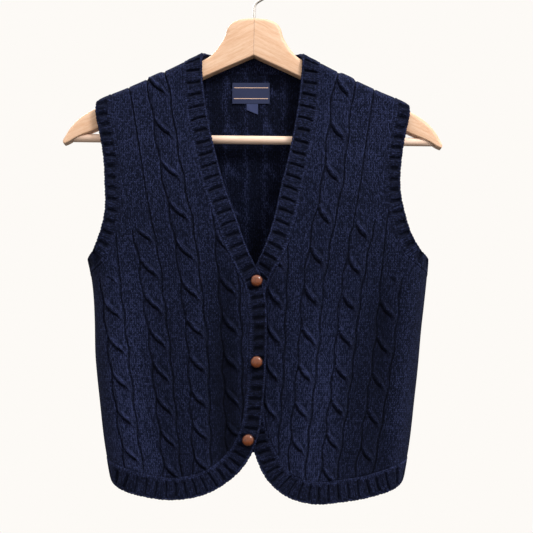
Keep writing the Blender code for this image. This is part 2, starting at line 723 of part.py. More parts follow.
def back_hem_path():
    """The back's hem from side seam to side seam: lower at the sides than in the middle."""
    reach = side_seam_across(HEM_SIDE_DROP)
    across = np.linspace(-reach, reach, 60)
    drop = HEM_BACK_DROP + (HEM_SIDE_DROP - HEM_BACK_DROP) * (across / reach) ** 2
    return np.column_stack([across, drop])


def make_bands():
    """All the flat bands of the vest, by name."""
    up = (0.0, -1.0)
    down = (0.0, 1.0)
    rightwards = (-1.0, 0.0)
    leftwards = (1.0, 0.0)
    bands = {}
    for name, rows, hand, away in (
            ("right_front_band", RIGHT_FRONT_EDGE, -1, rightwards),
            ("left_front_band", LEFT_FRONT_EDGE, 1, leftwards)):
        bands[name] = Band(front_edge_path(rows, hand), band_width,
                           ((on_shoulder, away), (on_side, up)), FRONT_RIB_PITCH, -1,
                           under=hand > 0)
    for name, hand, inward in (("right_armhole_band", -1, leftwards),
                               ("left_armhole_band", 1, rightwards)):
        for side in (-1, 1):
            bands[name, side] = Band(armhole_path(hand), armhole_width,
                                     ((on_shoulder, inward), (on_side, down)),
                                     ARMHOLE_RIB_PITCH, side)
    bands["back_neck_band"] = Band(back_neck_path(), band_width,
                                   ((on_shoulder, rightwards), (on_shoulder, leftwards)),
                                   NECK_RIB_PITCH, 1, turn=NECK_BAND_TURN)
    bands["back_hem_band"] = Band(back_hem_path(), band_width, ((on_side, up), (on_side, up)),
                                  HEM_RIB_PITCH, 1)
    return bands


# ------------------------------------------------------------------ panels

def shoulder_line(from_point, to_point, count):
    """Panel points along a shoulder seam, strictly between two band seams."""
    x = np.linspace(from_point[0], to_point[0], count + 2)[1:-1]
    points = on_shoulder(np.column_stack([x, np.full(count, from_point[1])]))
    return points + (0.0, SEAM_GAP / 2)


def side_line(hand, top, bottom, count):
    """Panel points down a side seam, strictly between two band seams."""
    run = np.linspace(top, bottom, count + 2)[1:-1]
    return np.column_stack([hand * (side_seam_across(run) - SEAM_GAP / 2), run])


def at_side(points, hand):
    """Hold the end of a band's seam just off the side seam."""
    points = points.copy()
    points[-1, 0] = hand * (side_seam_across(points[-1, 1]) - SEAM_GAP / 2)
    return points


def off_shoulder(points):
    """Hold the start of a band's seam just off the shoulder seam."""
    points = points.copy()
    points[0, 1] += SEAM_GAP / 2
    return points


def front_outline(bands, hand):
    """A front panel's outline, clockwise from the neck end of its shoulder seam."""
    front = "right_front_band" if hand < 0 else "left_front_band"
    arm = "right_armhole_band" if hand < 0 else "left_armhole_band"
    arm_seam = at_side(off_shoulder(bands[arm, -1].seam()), hand)
    front_seam = at_side(off_shoulder(bands[front].seam()), hand)
    shoulder = shoulder_line(front_seam[0], arm_seam[0], SHOULDER_POINTS)
    side = side_line(hand, arm_seam[-1, 1], front_seam[-1, 1], SIDE_POINTS)
    return np.vstack([shoulder, arm_seam, side, front_seam[::-1]])


def back_outline(bands):
    """The back panel's outline, from the neck's right end round by the left side."""
    neck = bands["back_neck_band"].seam()
    neck[[0, -1], 1] += SEAM_GAP / 2
    hem = bands["back_hem_band"].seam()
    for end, hand in ((0, -1), (-1, 1)):
        hem[end, 0] = hand * (side_seam_across(hem[end, 1]) - SEAM_GAP / 2)
    loops = {}
    for hand, arm in ((-1, "right_armhole_band"), (1, "left_armhole_band")):
        loops[hand] = at_side(off_shoulder(bands[arm, 1].seam()), hand)
    left_shoulder = shoulder_line(neck[-1], loops[1][0], SHOULDER_POINTS)
    left_side = side_line(1, loops[1][-1, 1], hem[-1, 1], SIDE_POINTS)
    right_side = side_line(-1, loops[-1][-1, 1], hem[0, 1], SIDE_POINTS)
    right_shoulder = shoulder_line(neck[0], loops[-1][0], SHOULDER_POINTS)
    return np.vstack([neck, left_shoulder, loops[1], left_side, hem[::-1],
                      right_side[::-1], loops[-1][::-1], right_shoulder[::-1]])


def pattern_columns(panel):
    """Lines of points along the cables: their strands, grooves and the plain ground beside."""
    first_one, last_one = CROSSINGS
    phases = np.concatenate([[whole + part for part in STRAND_PHASES]
                             for whole in range(first_one, last_one)])
    columns = []
    for place, (outwards, first, spacing, shrink, start) in enumerate(panel.cables):
        rows = crossing_drop(phases, first, spacing, shrink)
        strands = rows[(rows > start) & (rows > PATTERN_TOP)]
        plain = crossing_drop(np.arange(first_one, last_one, GROOVE_PHASE), first, spacing,
                              shrink)
        ground = crossing_drop(np.arange(first_one, last_one, GROUND_PHASE), first, spacing,
                               shrink)
        for offset in (-STRAND, 0.0, STRAND):
            columns.append((place, offset, strands))
        for offset in (-GROOVE, GROOVE):
            inner_side = math.copysign(1, offset) != math.copysign(1, outwards)
            begin = PATTERN_TOP if inner_side else start
            columns.append((place, offset, plain[plain > begin]))
        for offset in (-GROUND, GROUND):
            columns.append((place, offset, ground[ground > PATTERN_TOP]))
    lines = []
    for place, offset, run in columns:
        top = panel.cable_across(place, SHOULDER_RUN) + offset * panel.repeat_width(SHOULDER_RUN)
        seam = float(shoulder_seam_run(top + smooth_table(SHOULDER_RUN, CENTRE)))
        if run.min(initial=math.inf) < seam + TURN_ROWS[-1]:
            run = np.concatenate([seam + np.array(TURN_ROWS), run[run > seam + BELOW_TURN]])
        across = panel.cable_across(place, run) + offset * panel.repeat_width(run)
        lines.append(np.column_stack([across, run]))
    return lines


def round_points(spacing_down):
    """Loose points that hold the half rounds at the sides and the turn over the shoulder."""
    points = []
    for run in np.arange(*SIDE_DROPS, spacing_down):
        flat = half_width(run) - half_depth(run)
        for turn in np.arange(*SIDE_TURNS):
            reach = flat + half_depth(run) * turn
            points += [(reach, run), (-reach, run)]
    for x in np.arange(*SHOULDER_REACH):
        start = shoulder_drop(x) + SHOULDER_DEPTH
        for turn in np.arange(*SHOULDER_TURNS):
            points.append((x + SHOULDER_SHIFT, start - SHOULDER_DEPTH * turn))
    return np.array(points, dtype=float)


def inner_points(panel):
    """Loose points of the plain inner side."""
    points = [(across, run) for run in np.arange(*INNER_ROWS)
              for across in np.arange(*INNER_COLUMNS)]
    if panel.under:
        for run in np.arange(*UNDERLAP_ROWS):
            edge = float(front_edge_x(run) - smooth_table(run, CENTRE))
            points += [(edge + beside, run) for beside in UNDERLAP_COLUMNS]
    return np.array(points, dtype=float)


def panel_object(name, panel, outline):
    """A cabled panel: relief outside, plain inside."""
    points, links = chain_points(pattern_columns(panel), outline, PATTERN_MARGIN)
    extra = scatter_points(round_points(OUTER_SPACING), outline, BEND_MARGIN, points,
                           BEND_MARGIN)
    flat, outer_faces, outer_rim = triangulate(outline, np.vstack([points, extra]), links)
    height = panel.relief(flat[:, 0], flat[:, 1])
    height[outer_rim] = PLAIN_RELIEF
    outer = raised(flat[:, 0], flat[:, 1], panel.side, height, panel.under)
    held = scatter_points(round_points(INNER_SPACING), outline, BEND_MARGIN,
                          np.empty((0, 2)), 0.0)
    loose = scatter_points(inner_points(panel), outline, INNER_MARGIN, held,
                           INNER_CLEARANCE)
    flat, inner_faces, inner_rim = triangulate(outline, np.vstack([held, loose]), [])
    inner = raised(flat[:, 0], flat[:, 1], panel.side, np.full(len(flat), -WALL), panel.under)
    return wall_object(name, outer, outer_faces, outer_rim, inner, inner_faces, inner_rim)


def make_cloth():
    """The three panels and their bands."""
    bands = make_bands()
    panel_object("right_front", CablePanel(-1, RIGHT_FRONT_WALES, RIGHT_FRONT_CABLES),
                 front_outline(bands, -1))
    panel_object("left_front",
                 CablePanel(-1, LEFT_FRONT_WALES, LEFT_FRONT_CABLES, under=True),
                 front_outline(bands, 1))
    panel_object("back", CablePanel(1, BACK_WALES, BACK_CABLES), back_outline(bands))
    for name in ("right_front_band", "left_front_band", "back_neck_band", "back_hem_band"):
        band_object(name, end_gaps(bands[name].sections()))
    for name in ("right_armhole_band", "left_armhole_band"):
        front = bands[name, -1].sections()
        back = bands[name, 1].sections()
        band_object(name, np.concatenate([front, back[-2:0:-1]]), closed=True)


def end_gaps(sections):
    """Draw a band's two end sections in by half a seam gap."""
    sections = sections.copy()
    for end, inner in ((0, 1), (-1, -2)):
        step = sections[inner] - sections[end]
        step /= np.linalg.norm(step, axis=-1, keepdims=True)
        sections[end] += step * (SEAM_GAP / 2)
    return sections


# ------------------------------------------------------------------ label and buttons

def make_label():
    """The neck label and the size tab below it, flat on the inside of the back."""
    for name, (left, right), (top, bottom), cut in (
            ("neck_label", LABEL_X, LABEL_DROP, 0.0),
            ("size_tab", TAB_X, TAB_DROP, TAB_CUT)):
        centre = float(smooth_table(top, CENTRE))
        corners = np.array([(left, top), (right, top), (right, bottom), (left, bottom - cut)])
        inside = -WALL - LABEL_GAP
        points = [raised(corners[:, 0] - centre, corners[:, 1], 1, np.full(4, height))
                  for height in (inside, inside - LABEL_THICKNESS)]
        faces = [(0, 1, 2, 3), (7, 6, 5, 4)]
        faces += [(corner, corner + 4, (corner + 1) % 4 + 4, (corner + 1) % 4)
                  for corner in range(4)]
        make_object(name, np.vstack(points), faces, LABEL_CLOTH)


def make_buttons():
    """Domed leather-covered buttons on the right front's band."""
    radius = BUTTON_DIAMETER / 2
    sides = BUTTON_SIDES
    for name, x, drop in BUTTONS:
        seat = raised(unroll(x, drop), drop, -1, RIB_RELIEF + BUTTON_GAP)
        normal = cloth_normal(unroll(x, drop), drop, -1)
        upright = np.array([0.0, 0.0, 1.0]) - normal * normal[2]
        upright /= np.linalg.norm(upright)
        beside = np.cross(upright, normal)
        points = [seat]
        for reach, height in BUTTON_PROFILE[1:-1]:
            for angle in np.arange(sides) * 2 * math.pi / sides:
                points.append(seat + radius * reach * (beside * math.cos(angle)
                                                       + upright * math.sin(angle))
                              + normal * height * BUTTON_HEIGHT)
        points.append(seat + normal * BUTTON_HEIGHT)
        faces = [(0, 1 + (k + 1) % sides, 1 + k) for k in range(sides)]
        rings = len(BUTTON_PROFILE) - 2
        for ring in range(rings - 1):
            for k in range(sides):
                here = 1 + ring * sides
                there = here + sides
                after = (k + 1) % sides
                faces.append((here + k, here + after, there + after, there + k))
        last = 1 + (rings - 1) * sides
        faces += [(len(points) - 1, last + k, last + (k + 1) % sides) for k in range(sides)]
        made = make_object(name, np.array(points), faces, BROWN_LEATHER)
        made.data.shade_smooth()


# ------------------------------------------------------------------ hanger

def arm_mesh(hand):
    """One arm of the hanger: its outline as a board with rounded edges.

    Each outline point is drawn inwards as the board's face is reached, by its own rounding,
    so the top is full and the underside nearly flat.  The mitred end stays square.
    """
    rows = np.array(ARM_OUTLINE, dtype=float)
    outline = rows[:, :2]
    rounding = rows[:, 2]
    count = len(outline)
    ahead = np.roll(outline, -1, axis=0) - outline
    behind = outline - np.roll(outline, 1, axis=0)
    ahead[-1] = behind[-1]
    behind[0] = ahead[0]
    tangent = ahead / np.linalg.norm(ahead, axis=1, keepdims=True)
    tangent += behind / np.linalg.norm(behind, axis=1, keepdims=True)
    tangent /= np.linalg.norm(tangent, axis=1, keepdims=True)
    inward = np.column_stack([-tangent[:, 1], tangent[:, 0]])
    inward[0] = (0.0, 1.0)
    inward[-1] = (0.0, -1.0)
    half = ARM_THICKNESS / 2
    layers = []
    turns = np.linspace(0.0, math.pi / 2, 4)
    for side in (-1, 1):
        order = turns[::-1] if side < 0 else turns
        for turn in order:
            inset = outline + inward * (rounding * (1 - math.cos(turn)))[:, None]
            y = side * (half - rounding * (1 - math.sin(turn)))
            layers.append(np.column_stack([hand * inset[:, 0], y, -inset[:, 1]]))
    points = np.vstack(layers)
    faces = [tuple(range(count)), tuple((len(layers) - 1) * count + k
                                        for k in reversed(range(count)))]
    for layer in range(len(layers) - 1):
        for k in range(count):
            after = (k + 1) % count
            here = layer * count
            faces.append((here + k, here + count + k, here + count + after, here + after))
    return points, faces


def cylinder(name, radius, start, end, sides, finish):
    """A round bar between two points, in millimetres."""
    start = np.array(start, dtype=float)
    end = np.array(end, dtype=float)
    axis = (end - start) / np.linalg.norm(end - start)
    upright = np.array([0.0, 1.0, 0.0])
    beside = np.cross(axis, upright)
    ring = [beside * math.cos(angle) + upright * math.sin(angle)
            for angle in np.arange(sides) * 2 * math.pi / sides]
    points = [centre + radius * spoke for centre in (start, end) for spoke in ring]
    faces = [tuple(range(sides)), tuple(sides + k for k in reversed(range(sides)))]
    faces += [(k, k + sides, (k + 1) % sides + sides, (k + 1) % sides) for k in range(sides)]
    return make_object(name, points, faces, finish)


def make_cutter(name, radius, start, end):
    """A round cutter that is left out of the model."""
    cutter = cylinder(name, radius, start, end, 24, BEECH)
    cutter.hide_render = True
    cutter.display_type = 'WIRE'
    return cutter


def hook_path():
    """Points along the hook's wire: its bend, then the turn into the stem, in x and z."""
    reach = HOOK_RADIUS + WIRE_DIAMETER / 2
    bend = [(reach * math.cos(angle), -HOOK_RADIUS + reach * math.sin(angle))
            for angle in np.linspace(HOOK_TIP, HOOK_LEAVES, 24)]
    start = np.array(bend[-1])
    leaving = np.array([math.sin(HOOK_LEAVES), -math.cos(HOOK_LEAVES)])
    end = np.array([0.0, -STEM_TOP])
    first = start + leaving * BEND_PULL
    second = end + np.array([0.0, STEM_PULL])
    turn = []
    for part in np.linspace(0.0, 1.0, 7)[1:]:
        turn.append((1 - part) ** 3 * start + 3 * (1 - part) ** 2 * part * first
                    + 3 * (1 - part) * part ** 2 * second + part ** 3 * end)
    return bend + [tuple(point) for point in turn] + [(0.0, -STEM_END)]


def make_hook():
    """The hook, a bent wire whose stem goes down into the arms' shared bore."""
    path = np.array(hook_path())
    tangent = np.gradient(path, axis=0)
    tangent /= np.linalg.norm(tangent, axis=1, keepdims=True)
    angles = np.arange(WIRE_SIDES) * 2 * math.pi / WIRE_SIDES
    rings = []
    for (x, z), (along_x, along_z) in zip(path, tangent):
        spokes = np.column_stack([-along_z * np.cos(angles), np.sin(angles),
                                  along_x * np.cos(angles)])
        rings.append(np.array([x, 0.0, z]) + WIRE_DIAMETER / 2 * spokes)
    faces = [tuple(range(WIRE_SIDES))]
    last = (len(path) - 1) * WIRE_SIDES
    faces.append(tuple(last + k for k in reversed(range(WIRE_SIDES))))
    for here in range(0, last, WIRE_SIDES):
        for k in range(WIRE_SIDES):
            after = (k + 1) % WIRE_SIDES
            faces.append((here + k, here + k + WIRE_SIDES, here + after + WIRE_SIDES,
                          here + after))
    return make_object("hanger_hook", np.vstack(rings), faces, BRIGHT_STEEL)


def make_hanger():
    """Two mitred arms, the trouser bar between their tips and the hook, tilted as one."""
    frame = bpy.data.objects.new("hanger_frame", None)
    bpy.context.scene.collection.objects.link(frame)
    bore = BAR_DIAMETER / 2 + BORE_GAP
    bar_bore = make_cutter("bar_bore", bore, (-BAR_HALF_LENGTH - BORE_GAP, 0, -BAR_DROP),
                           (BAR_HALF_LENGTH + BORE_GAP, 0, -BAR_DROP))
    stem_bore = make_cutter("stem_bore", WIRE_DIAMETER / 2 + BORE_GAP,
                            (0, 0, -STEM_END - BORE_GAP), (0, 0, -STEM_TOP))
    pieces = [bar_bore, stem_bore]
    for name, hand in (("hanger_arm_right", -1), ("hanger_arm_left", 1)):
        points, faces = arm_mesh(hand)
        arm = make_object(name, points, faces, BEECH)
        for cutter in (bar_bore, stem_bore):
            cut = arm.modifiers.new(cutter.name, 'BOOLEAN')
            cut.operation = 'DIFFERENCE'
            cut.object = cutter
        pieces.append(arm)
    pieces.append(cylinder("hanger_bar", BAR_DIAMETER / 2, (-BAR_HALF_LENGTH, 0, -BAR_DROP),
                           (BAR_HALF_LENGTH, 0, -BAR_DROP), 20, BEECH))
    pieces.append(make_hook())
    for piece in pieces:
        piece.parent = frame
    frame.rotation_euler = (0.0, HANGER_TILT, 0.0)


def main():
    """Build the vest and its hanger in an empty scene."""
    for leftover in list(bpy.data.objects):
        bpy.data.objects.remove(leftover, do_unlink=True)
    make_cloth()
    make_label()
    make_buttons()
    make_hanger()


main()
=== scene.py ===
"""The looks of a cable-knit sweater vest on its wooden hanger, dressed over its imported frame.

Right and left are the wearer's: the wearer's right is -X, the front faces -Y and +Z is up.
Lengths are in millimetres until a mesh is made.  Cloth is laid out flat in two measures:
"across", from the garment's centre line round to a side seam, and "run", down from the
hook's height and over the shoulder to its seam.
"""
import logging
import math
from dataclasses import dataclass, field
from enum import Enum
from typing import Callable, Sequence

import bpy
import numpy as np
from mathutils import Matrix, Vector


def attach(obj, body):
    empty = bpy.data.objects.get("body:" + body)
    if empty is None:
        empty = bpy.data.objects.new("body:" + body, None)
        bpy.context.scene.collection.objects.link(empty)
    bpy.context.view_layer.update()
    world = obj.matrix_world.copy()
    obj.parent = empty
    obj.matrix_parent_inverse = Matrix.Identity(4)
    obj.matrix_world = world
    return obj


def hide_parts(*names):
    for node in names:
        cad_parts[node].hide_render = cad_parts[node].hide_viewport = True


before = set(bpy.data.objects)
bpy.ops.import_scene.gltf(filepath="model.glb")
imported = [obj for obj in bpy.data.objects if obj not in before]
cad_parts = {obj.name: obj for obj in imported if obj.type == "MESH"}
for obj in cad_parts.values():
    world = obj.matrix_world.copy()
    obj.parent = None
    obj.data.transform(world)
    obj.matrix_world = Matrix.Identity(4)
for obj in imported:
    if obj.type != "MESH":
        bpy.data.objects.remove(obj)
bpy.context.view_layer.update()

LOG = logging.getLogger("sweater_vest")
MM = 0.001
Table = Sequence[Sequence[float]]


class Face(Enum):
    """Which side of the garment a piece of cloth is on; the value is its direction along Y."""

    FRONT = -1
    BACK = 1


class Sheen(Enum):
    """How much loose fibre stands on a knitted surface."""

    BRUSHED = 0.16
    WORN = 0.08


# ------------------------------------------------------------------ colours and nodes

def linear(code: str) -> tuple[float, float, float, float]:
    """Turn an sRGB hex colour to linear light.

    Args:
        code: six hex digits after a hash.

    Returns:
        Red, green, blue and an alpha of one.
    """
    parts = np.array([int(code[k:k + 2], 16) for k in (1, 3, 5)]) / 255
    light = np.where(parts <= 0.04045, parts / 12.92, ((parts + 0.055) / 1.055) ** 2.4)
    return (*(float(part) for part in light), 1.0)


def add_node(tree: bpy.types.NodeTree, kind: str, settings: dict | None = None,
             links: dict | None = None) -> bpy.types.Node:
    """Add a node, set its properties and sockets, and link its inputs.

    Args:
        tree: the node tree.
        kind: the node's type name.
        settings: property names, or socket names or numbers, and their values.
        links: input names or numbers, and the output sockets that feed them.

    Returns:
        The node.
    """
    node = tree.nodes.new(kind)
    for key, value in (settings or {}).items():
        if isinstance(key, str) and hasattr(node, key):
            setattr(node, key, value)
        else:
            node.inputs[key].default_value = value
    for key, source in (links or {}).items():
        tree.links.new(source, node.inputs[key])
    return node


def new_material(name: str) -> tuple[bpy.types.Material, bpy.types.NodeTree, bpy.types.Node]:
    """Make a material with one Principled shader.

    Args:
        name: the finish's name.

    Returns:
        The material, its node tree and its shader node.
    """
    material = bpy.data.materials.new(name)
    material.use_nodes = True
    tree = material.node_tree
    return material, tree, tree.nodes["Principled BSDF"]


# ------------------------------------------------------------------ finishes

@dataclass(frozen=True)
class WoolKnit:
    """Lambswool dyed navy and knitted by machine: matt and fibrous, with painted shade between
    the stitches.

    The stitches follow the piece's UV map, so that they bend with the cloth.  It holds flat
    measures; a panel's are scaled across, so that each cable keeps its count of stitches
    where it narrows, and it is no measure of the cut.  The "shade" attribute is painted
    light and shade: low in a purl groove, beside a crossing, in a fold's trough and round the
    sides, high on a strand and at the shoulders.
    """

    name: str
    # the tone ramp's stops: painted shade in a crease, the yarn, then painted light
    crease: str = "#020309"
    yarn: str = "#0f1325"
    lit: str = "#363d63"
    # stitch sizes, relief and the sizes of the two noises, in millimetres; a leg's lean
    # is in courses from the middle of its column to its side
    wale: float = 2.7
    course: float = 2.05
    leg_lean: float = -1.3
    relief: float = 0.8
    fibre: float = 0.85
    patch: float = 24.0
    # how much each part of the texture shifts the tone; the stitch's and the gap's shifts are
    # painted light on the legs and painted shade between the columns
    of_stitch: float = 0.40
    of_leg: float = 0.42
    of_fibre: float = 1.1
    of_patch: float = 0.12
    of_gap: float = -0.26
    sheen: Sheen = Sheen.BRUSHED

    def make(self) -> bpy.types.Material:
        """Build the material."""
        material, tree, shader = new_material(self.name)
        uv = add_node(tree, "ShaderNodeUVMap", {"uv_map": "cloth"})
        place = add_node(tree, "ShaderNodeSeparateXYZ", links={0: uv.outputs[0]})

        def maths(operation: str, first: object, second: object = None) -> object:
            """One sum on two numbers or sockets; returns its output."""
            node = add_node(tree, "ShaderNodeMath", {"operation": operation})
            for slot, value in enumerate((first, second)):
                if isinstance(value, (int, float)):
                    node.inputs[slot].default_value = value
                elif value is not None:
                    tree.links.new(value, node.inputs[slot])
            return node.outputs[0]

        # each stitch is a V: two legs lean out from the middle of its column, and along a
        # leg the yarn rises out of the stitch below and dives into the one above
        column = maths("MULTIPLY", place.outputs[0], 1000 / self.wale)
        row = maths("MULTIPLY", place.outputs[1], 1000 / self.course)
        aside = maths("ABSOLUTE", maths("SUBTRACT", maths("FRACT", column), 0.5))
        lean = maths("ADD", row, maths("MULTIPLY", aside, self.leg_lean))
        along = maths("SUBTRACT", maths("MULTIPLY", maths("FRACT", lean), 2.0), 1.0)
        rise = maths("SUBTRACT", 1.0, maths("MULTIPLY", along, along))
        over = maths("SUBTRACT", maths("MULTIPLY", aside, 4.0), 1.0)
        round_leg = maths("SUBTRACT", 1.0, maths("MULTIPLY", over, over))
        stitch = maths("SQRT", maths("MAXIMUM", maths("MULTIPLY", rise, round_leg), 0.0))

        # every leg of every stitch is a little tighter or looser than the next
        leg = add_node(tree, "ShaderNodeCombineXYZ", links={
            0: maths("FLOOR", maths("MULTIPLY", column, 2.0)), 1: maths("FLOOR", lean)})
        uneven = add_node(tree, "ShaderNodeTexWhiteNoise", {"noise_dimensions": "2D"},
                          {"Vector": leg.outputs[0]})
        spot = add_node(tree, "ShaderNodeTexCoord")
        fuzz = add_node(tree, "ShaderNodeTexNoise", {"Scale": 1 / (self.fibre * MM),
                                                     "Detail": 3.0, "Roughness": 0.7},
                        {"Vector": spot.outputs["Object"]})
        patch = add_node(tree, "ShaderNodeTexNoise", {"Scale": 1 / (self.patch * MM),
                                                      "Detail": 2.0},
                         {"Vector": spot.outputs["Object"]})
        shade = add_node(tree, "ShaderNodeAttribute", {"attribute_name": "shade"})
        height = maths("ADD", maths("MULTIPLY", stitch, 0.75),
                       maths("MULTIPLY", fuzz.outputs["Fac"], 0.6))
        bump = add_node(tree, "ShaderNodeBump", {"Strength": 1.0, "Distance": self.relief * MM},
                        {"Height": height})
        # the tone begins at the painted light and shade of the "shade" attribute; the stitch
        # adds painted light on the legs and the gap painted shade between the columns, while the
        # leg, fibre and patch noises are the yarn's own uneven tone
        tone = shade.outputs["Fac"]
        gap = maths("POWER", maths("MULTIPLY", aside, 2.0), 4.0)
        for texture, mean, weight in ((stitch, 0.62, self.of_stitch),
                                      (gap, 0.2, self.of_gap),
                                      (uneven.outputs["Value"], 0.5, self.of_leg),
                                      (fuzz.outputs["Fac"], 0.5, self.of_fibre),
                                      (patch.outputs["Fac"], 0.5, self.of_patch)):
            tone = maths("ADD", tone, maths("MULTIPLY", maths("SUBTRACT", texture, mean),
                                            weight))
        ramp = add_node(tree, "ShaderNodeValToRGB", links={0: tone})
        stops = ramp.color_ramp.elements
        stops[0].position, stops[0].color = 0.0, linear(self.crease)
        stops[1].position, stops[1].color = 1.0, linear(self.lit)
        middle = stops.new(0.5)
        middle.color = linear(self.yarn)
        tree.links.new(ramp.outputs[0], shader.inputs["Base Color"])
        tree.links.new(bump.outputs[0], shader.inputs["Normal"])
        shader.inputs["Roughness"].default_value = 0.95
        shader.inputs["Specular IOR Level"].default_value = 0.05
        shader.inputs["Sheen Weight"].default_value = self.sheen.value
        shader.inputs["Sheen Roughness"].default_value = 0.55
        shader.inputs["Sheen Tint"].default_value = linear("#5a6490")
        return material


@dataclass(frozen=True)
class BeechWood:
    """Beech under clear satin lacquer: pale, with short flecks along the grain."""

    name: str
    slope: float
    light: str = "#ddb99c"
    dark: str = "#cda17f"

    def make(self) -> bpy.types.Material:
        """Build the material; its grain lies along a slope in the X-Z plane."""
        material, tree, shader = new_material(self.name)
        spot = add_node(tree, "ShaderNodeTexCoord")
        turned = add_node(tree, "ShaderNodeMapping",
                          {"Rotation": (0.0, self.slope, 0.0)},
                          {"Vector": spot.outputs["Object"]})
        long_way = add_node(tree, "ShaderNodeMapping", {"Scale": (14.0, 160.0, 160.0)},
                            {"Vector": turned.outputs[0]})
        grain = add_node(tree, "ShaderNodeTexNoise", {"Scale": 2.2, "Detail": 5.0,
                                                      "Roughness": 0.62, "Distortion": 0.25},
                         {"Vector": long_way.outputs[0]})
        short = add_node(tree, "ShaderNodeMapping", {"Scale": (120.0, 700.0, 700.0)},
                         {"Vector": turned.outputs[0]})
        fleck = add_node(tree, "ShaderNodeTexNoise", {"Scale": 2.0, "Detail": 2.0},
                         {"Vector": short.outputs[0]})
        both = add_node(tree, "ShaderNodeMath", {"operation": "MULTIPLY_ADD", 1: 0.35},
                        {0: fleck.outputs["Fac"], 2: grain.outputs["Fac"]})
        ramp = add_node(tree, "ShaderNodeValToRGB", links={0: both.outputs[0]})
        stops = ramp.color_ramp.elements
        stops[0].position, stops[0].color = 0.50, linear(self.dark)
        stops[1].position, stops[1].color = 0.82, linear(self.light)
        bump = add_node(tree, "ShaderNodeBump", {"Strength": 0.25, "Distance": 0.15 * MM},
                        {"Height": both.outputs[0]})
        tree.links.new(ramp.outputs[0], shader.inputs["Base Color"])
        tree.links.new(bump.outputs[0], shader.inputs["Normal"])
        shader.inputs["Roughness"].default_value = 0.48
        shader.inputs["Specular IOR Level"].default_value = 0.3
        return material


@dataclass(frozen=True)
class PolishedLeather:
    """Tan leather moulded over a button's dome and polished: glossy and mottled, with painted
    shade round its rim.

    Its "shade" attribute is how near each place lies to the folded rim, where the shade is
    painted.
    """

    name: str = "polished_leather"
    tan: str = "#723817"
    # the painted shade round the rim
    deep: str = "#1d0c08"

    def make(self) -> bpy.types.Material:
        """Build the material."""
        material, tree, shader = new_material(self.name)
        spot = add_node(tree, "ShaderNodeTexCoord")
        mottle = add_node(tree, "ShaderNodeTexNoise", {"Scale": 1 / (1.3 * MM), "Detail": 2.0,
                                                       "Roughness": 0.5},
                          {"Vector": spot.outputs["Object"]})
        rim = add_node(tree, "ShaderNodeAttribute", {"attribute_name": "shade"})
        # the "shade" attribute darkens the mottle towards the rim: painted shade
        mottle_and_rim_shade = add_node(tree, "ShaderNodeMath", {"operation": "MULTIPLY_ADD", 1: -0.4},
                        {0: rim.outputs["Fac"], 2: mottle.outputs["Fac"]})
        ramp = add_node(tree, "ShaderNodeValToRGB", links={0: mottle_and_rim_shade.outputs[0]})
        stops = ramp.color_ramp.elements
        stops[0].position, stops[0].color = 0.05, linear(self.deep)
        stops[1].position, stops[1].color = 0.55, linear(self.tan)
        bump = add_node(tree, "ShaderNodeBump", {"Strength": 0.5, "Distance": 0.35 * MM},
                        {"Height": mottle.outputs["Fac"]})
        tree.links.new(ramp.outputs[0], shader.inputs["Base Color"])
        tree.links.new(bump.outputs[0], shader.inputs["Normal"])
        shader.inputs["Roughness"].default_value = 0.5
        shader.inputs["Specular IOR Level"].default_value = 0.2
        shader.inputs["Coat Weight"].default_value = 0.8
        shader.inputs["Coat Roughness"].default_value = 0.2
        return material


@dataclass(frozen=True)
class WovenRibbon:
    """Woven damask ribbon: smooth, close rows of fine yarn with paler rules woven in."""

    name: str
    ground: str = "#272e4b"
    rule: str = "#d8b49c"
    rules: tuple[float, ...] = ()
    rule_width: float = 0.028

    def make(self) -> bpy.types.Material:
        """Build the material; its rules lie across the UV map's height."""
        material, tree, shader = new_material(self.name)
        uv = add_node(tree, "ShaderNodeUVMap", {"uv_map": "cloth"})
        place = add_node(tree, "ShaderNodeSeparateXYZ", links={0: uv.outputs[0]})
        inside = add_node(tree, "ShaderNodeMath",
                          {"operation": "COMPARE", 1: 0.5, 2: 0.46}, {0: place.outputs[0]})
        marks = None
        for at in self.rules:
            mark = add_node(tree, "ShaderNodeMath",
                            {"operation": "COMPARE", 1: at, 2: self.rule_width / 2},
                            {0: place.outputs[1]})
            marks = mark if marks is None else add_node(
                tree, "ShaderNodeMath", {"operation": "MAXIMUM"},
                {0: marks.outputs[0], 1: mark.outputs[0]})
        threads = add_node(tree, "ShaderNodeTexWave",
                           {"wave_type": "BANDS", "bands_direction": "Y", "Scale": 14.0,
                            "Distortion": 1.5}, {"Vector": uv.outputs[0]})
        mix = add_node(tree, "ShaderNodeMix", {"data_type": "RGBA"})
        mix.inputs[6].default_value = linear(self.ground)
        mix.inputs[7].default_value = linear(self.rule)
        if marks is None:
            mix.inputs[0].default_value = 0.0
        else:
            drawn = add_node(tree, "ShaderNodeMath", {"operation": "MULTIPLY"},
                             {0: marks.outputs[0], 1: inside.outputs[0]})
            tree.links.new(drawn.outputs[0], mix.inputs[0])
        bump = add_node(tree, "ShaderNodeBump", {"Strength": 0.3, "Distance": 0.1 * MM},
                        {"Height": threads.outputs["Fac"]})
        tree.links.new(mix.outputs[2], shader.inputs["Base Color"])
        tree.links.new(bump.outputs[0], shader.inputs["Normal"])
        shader.inputs["Roughness"].default_value = 0.7
        shader.inputs["Specular IOR Level"].default_value = 0.2
        return material


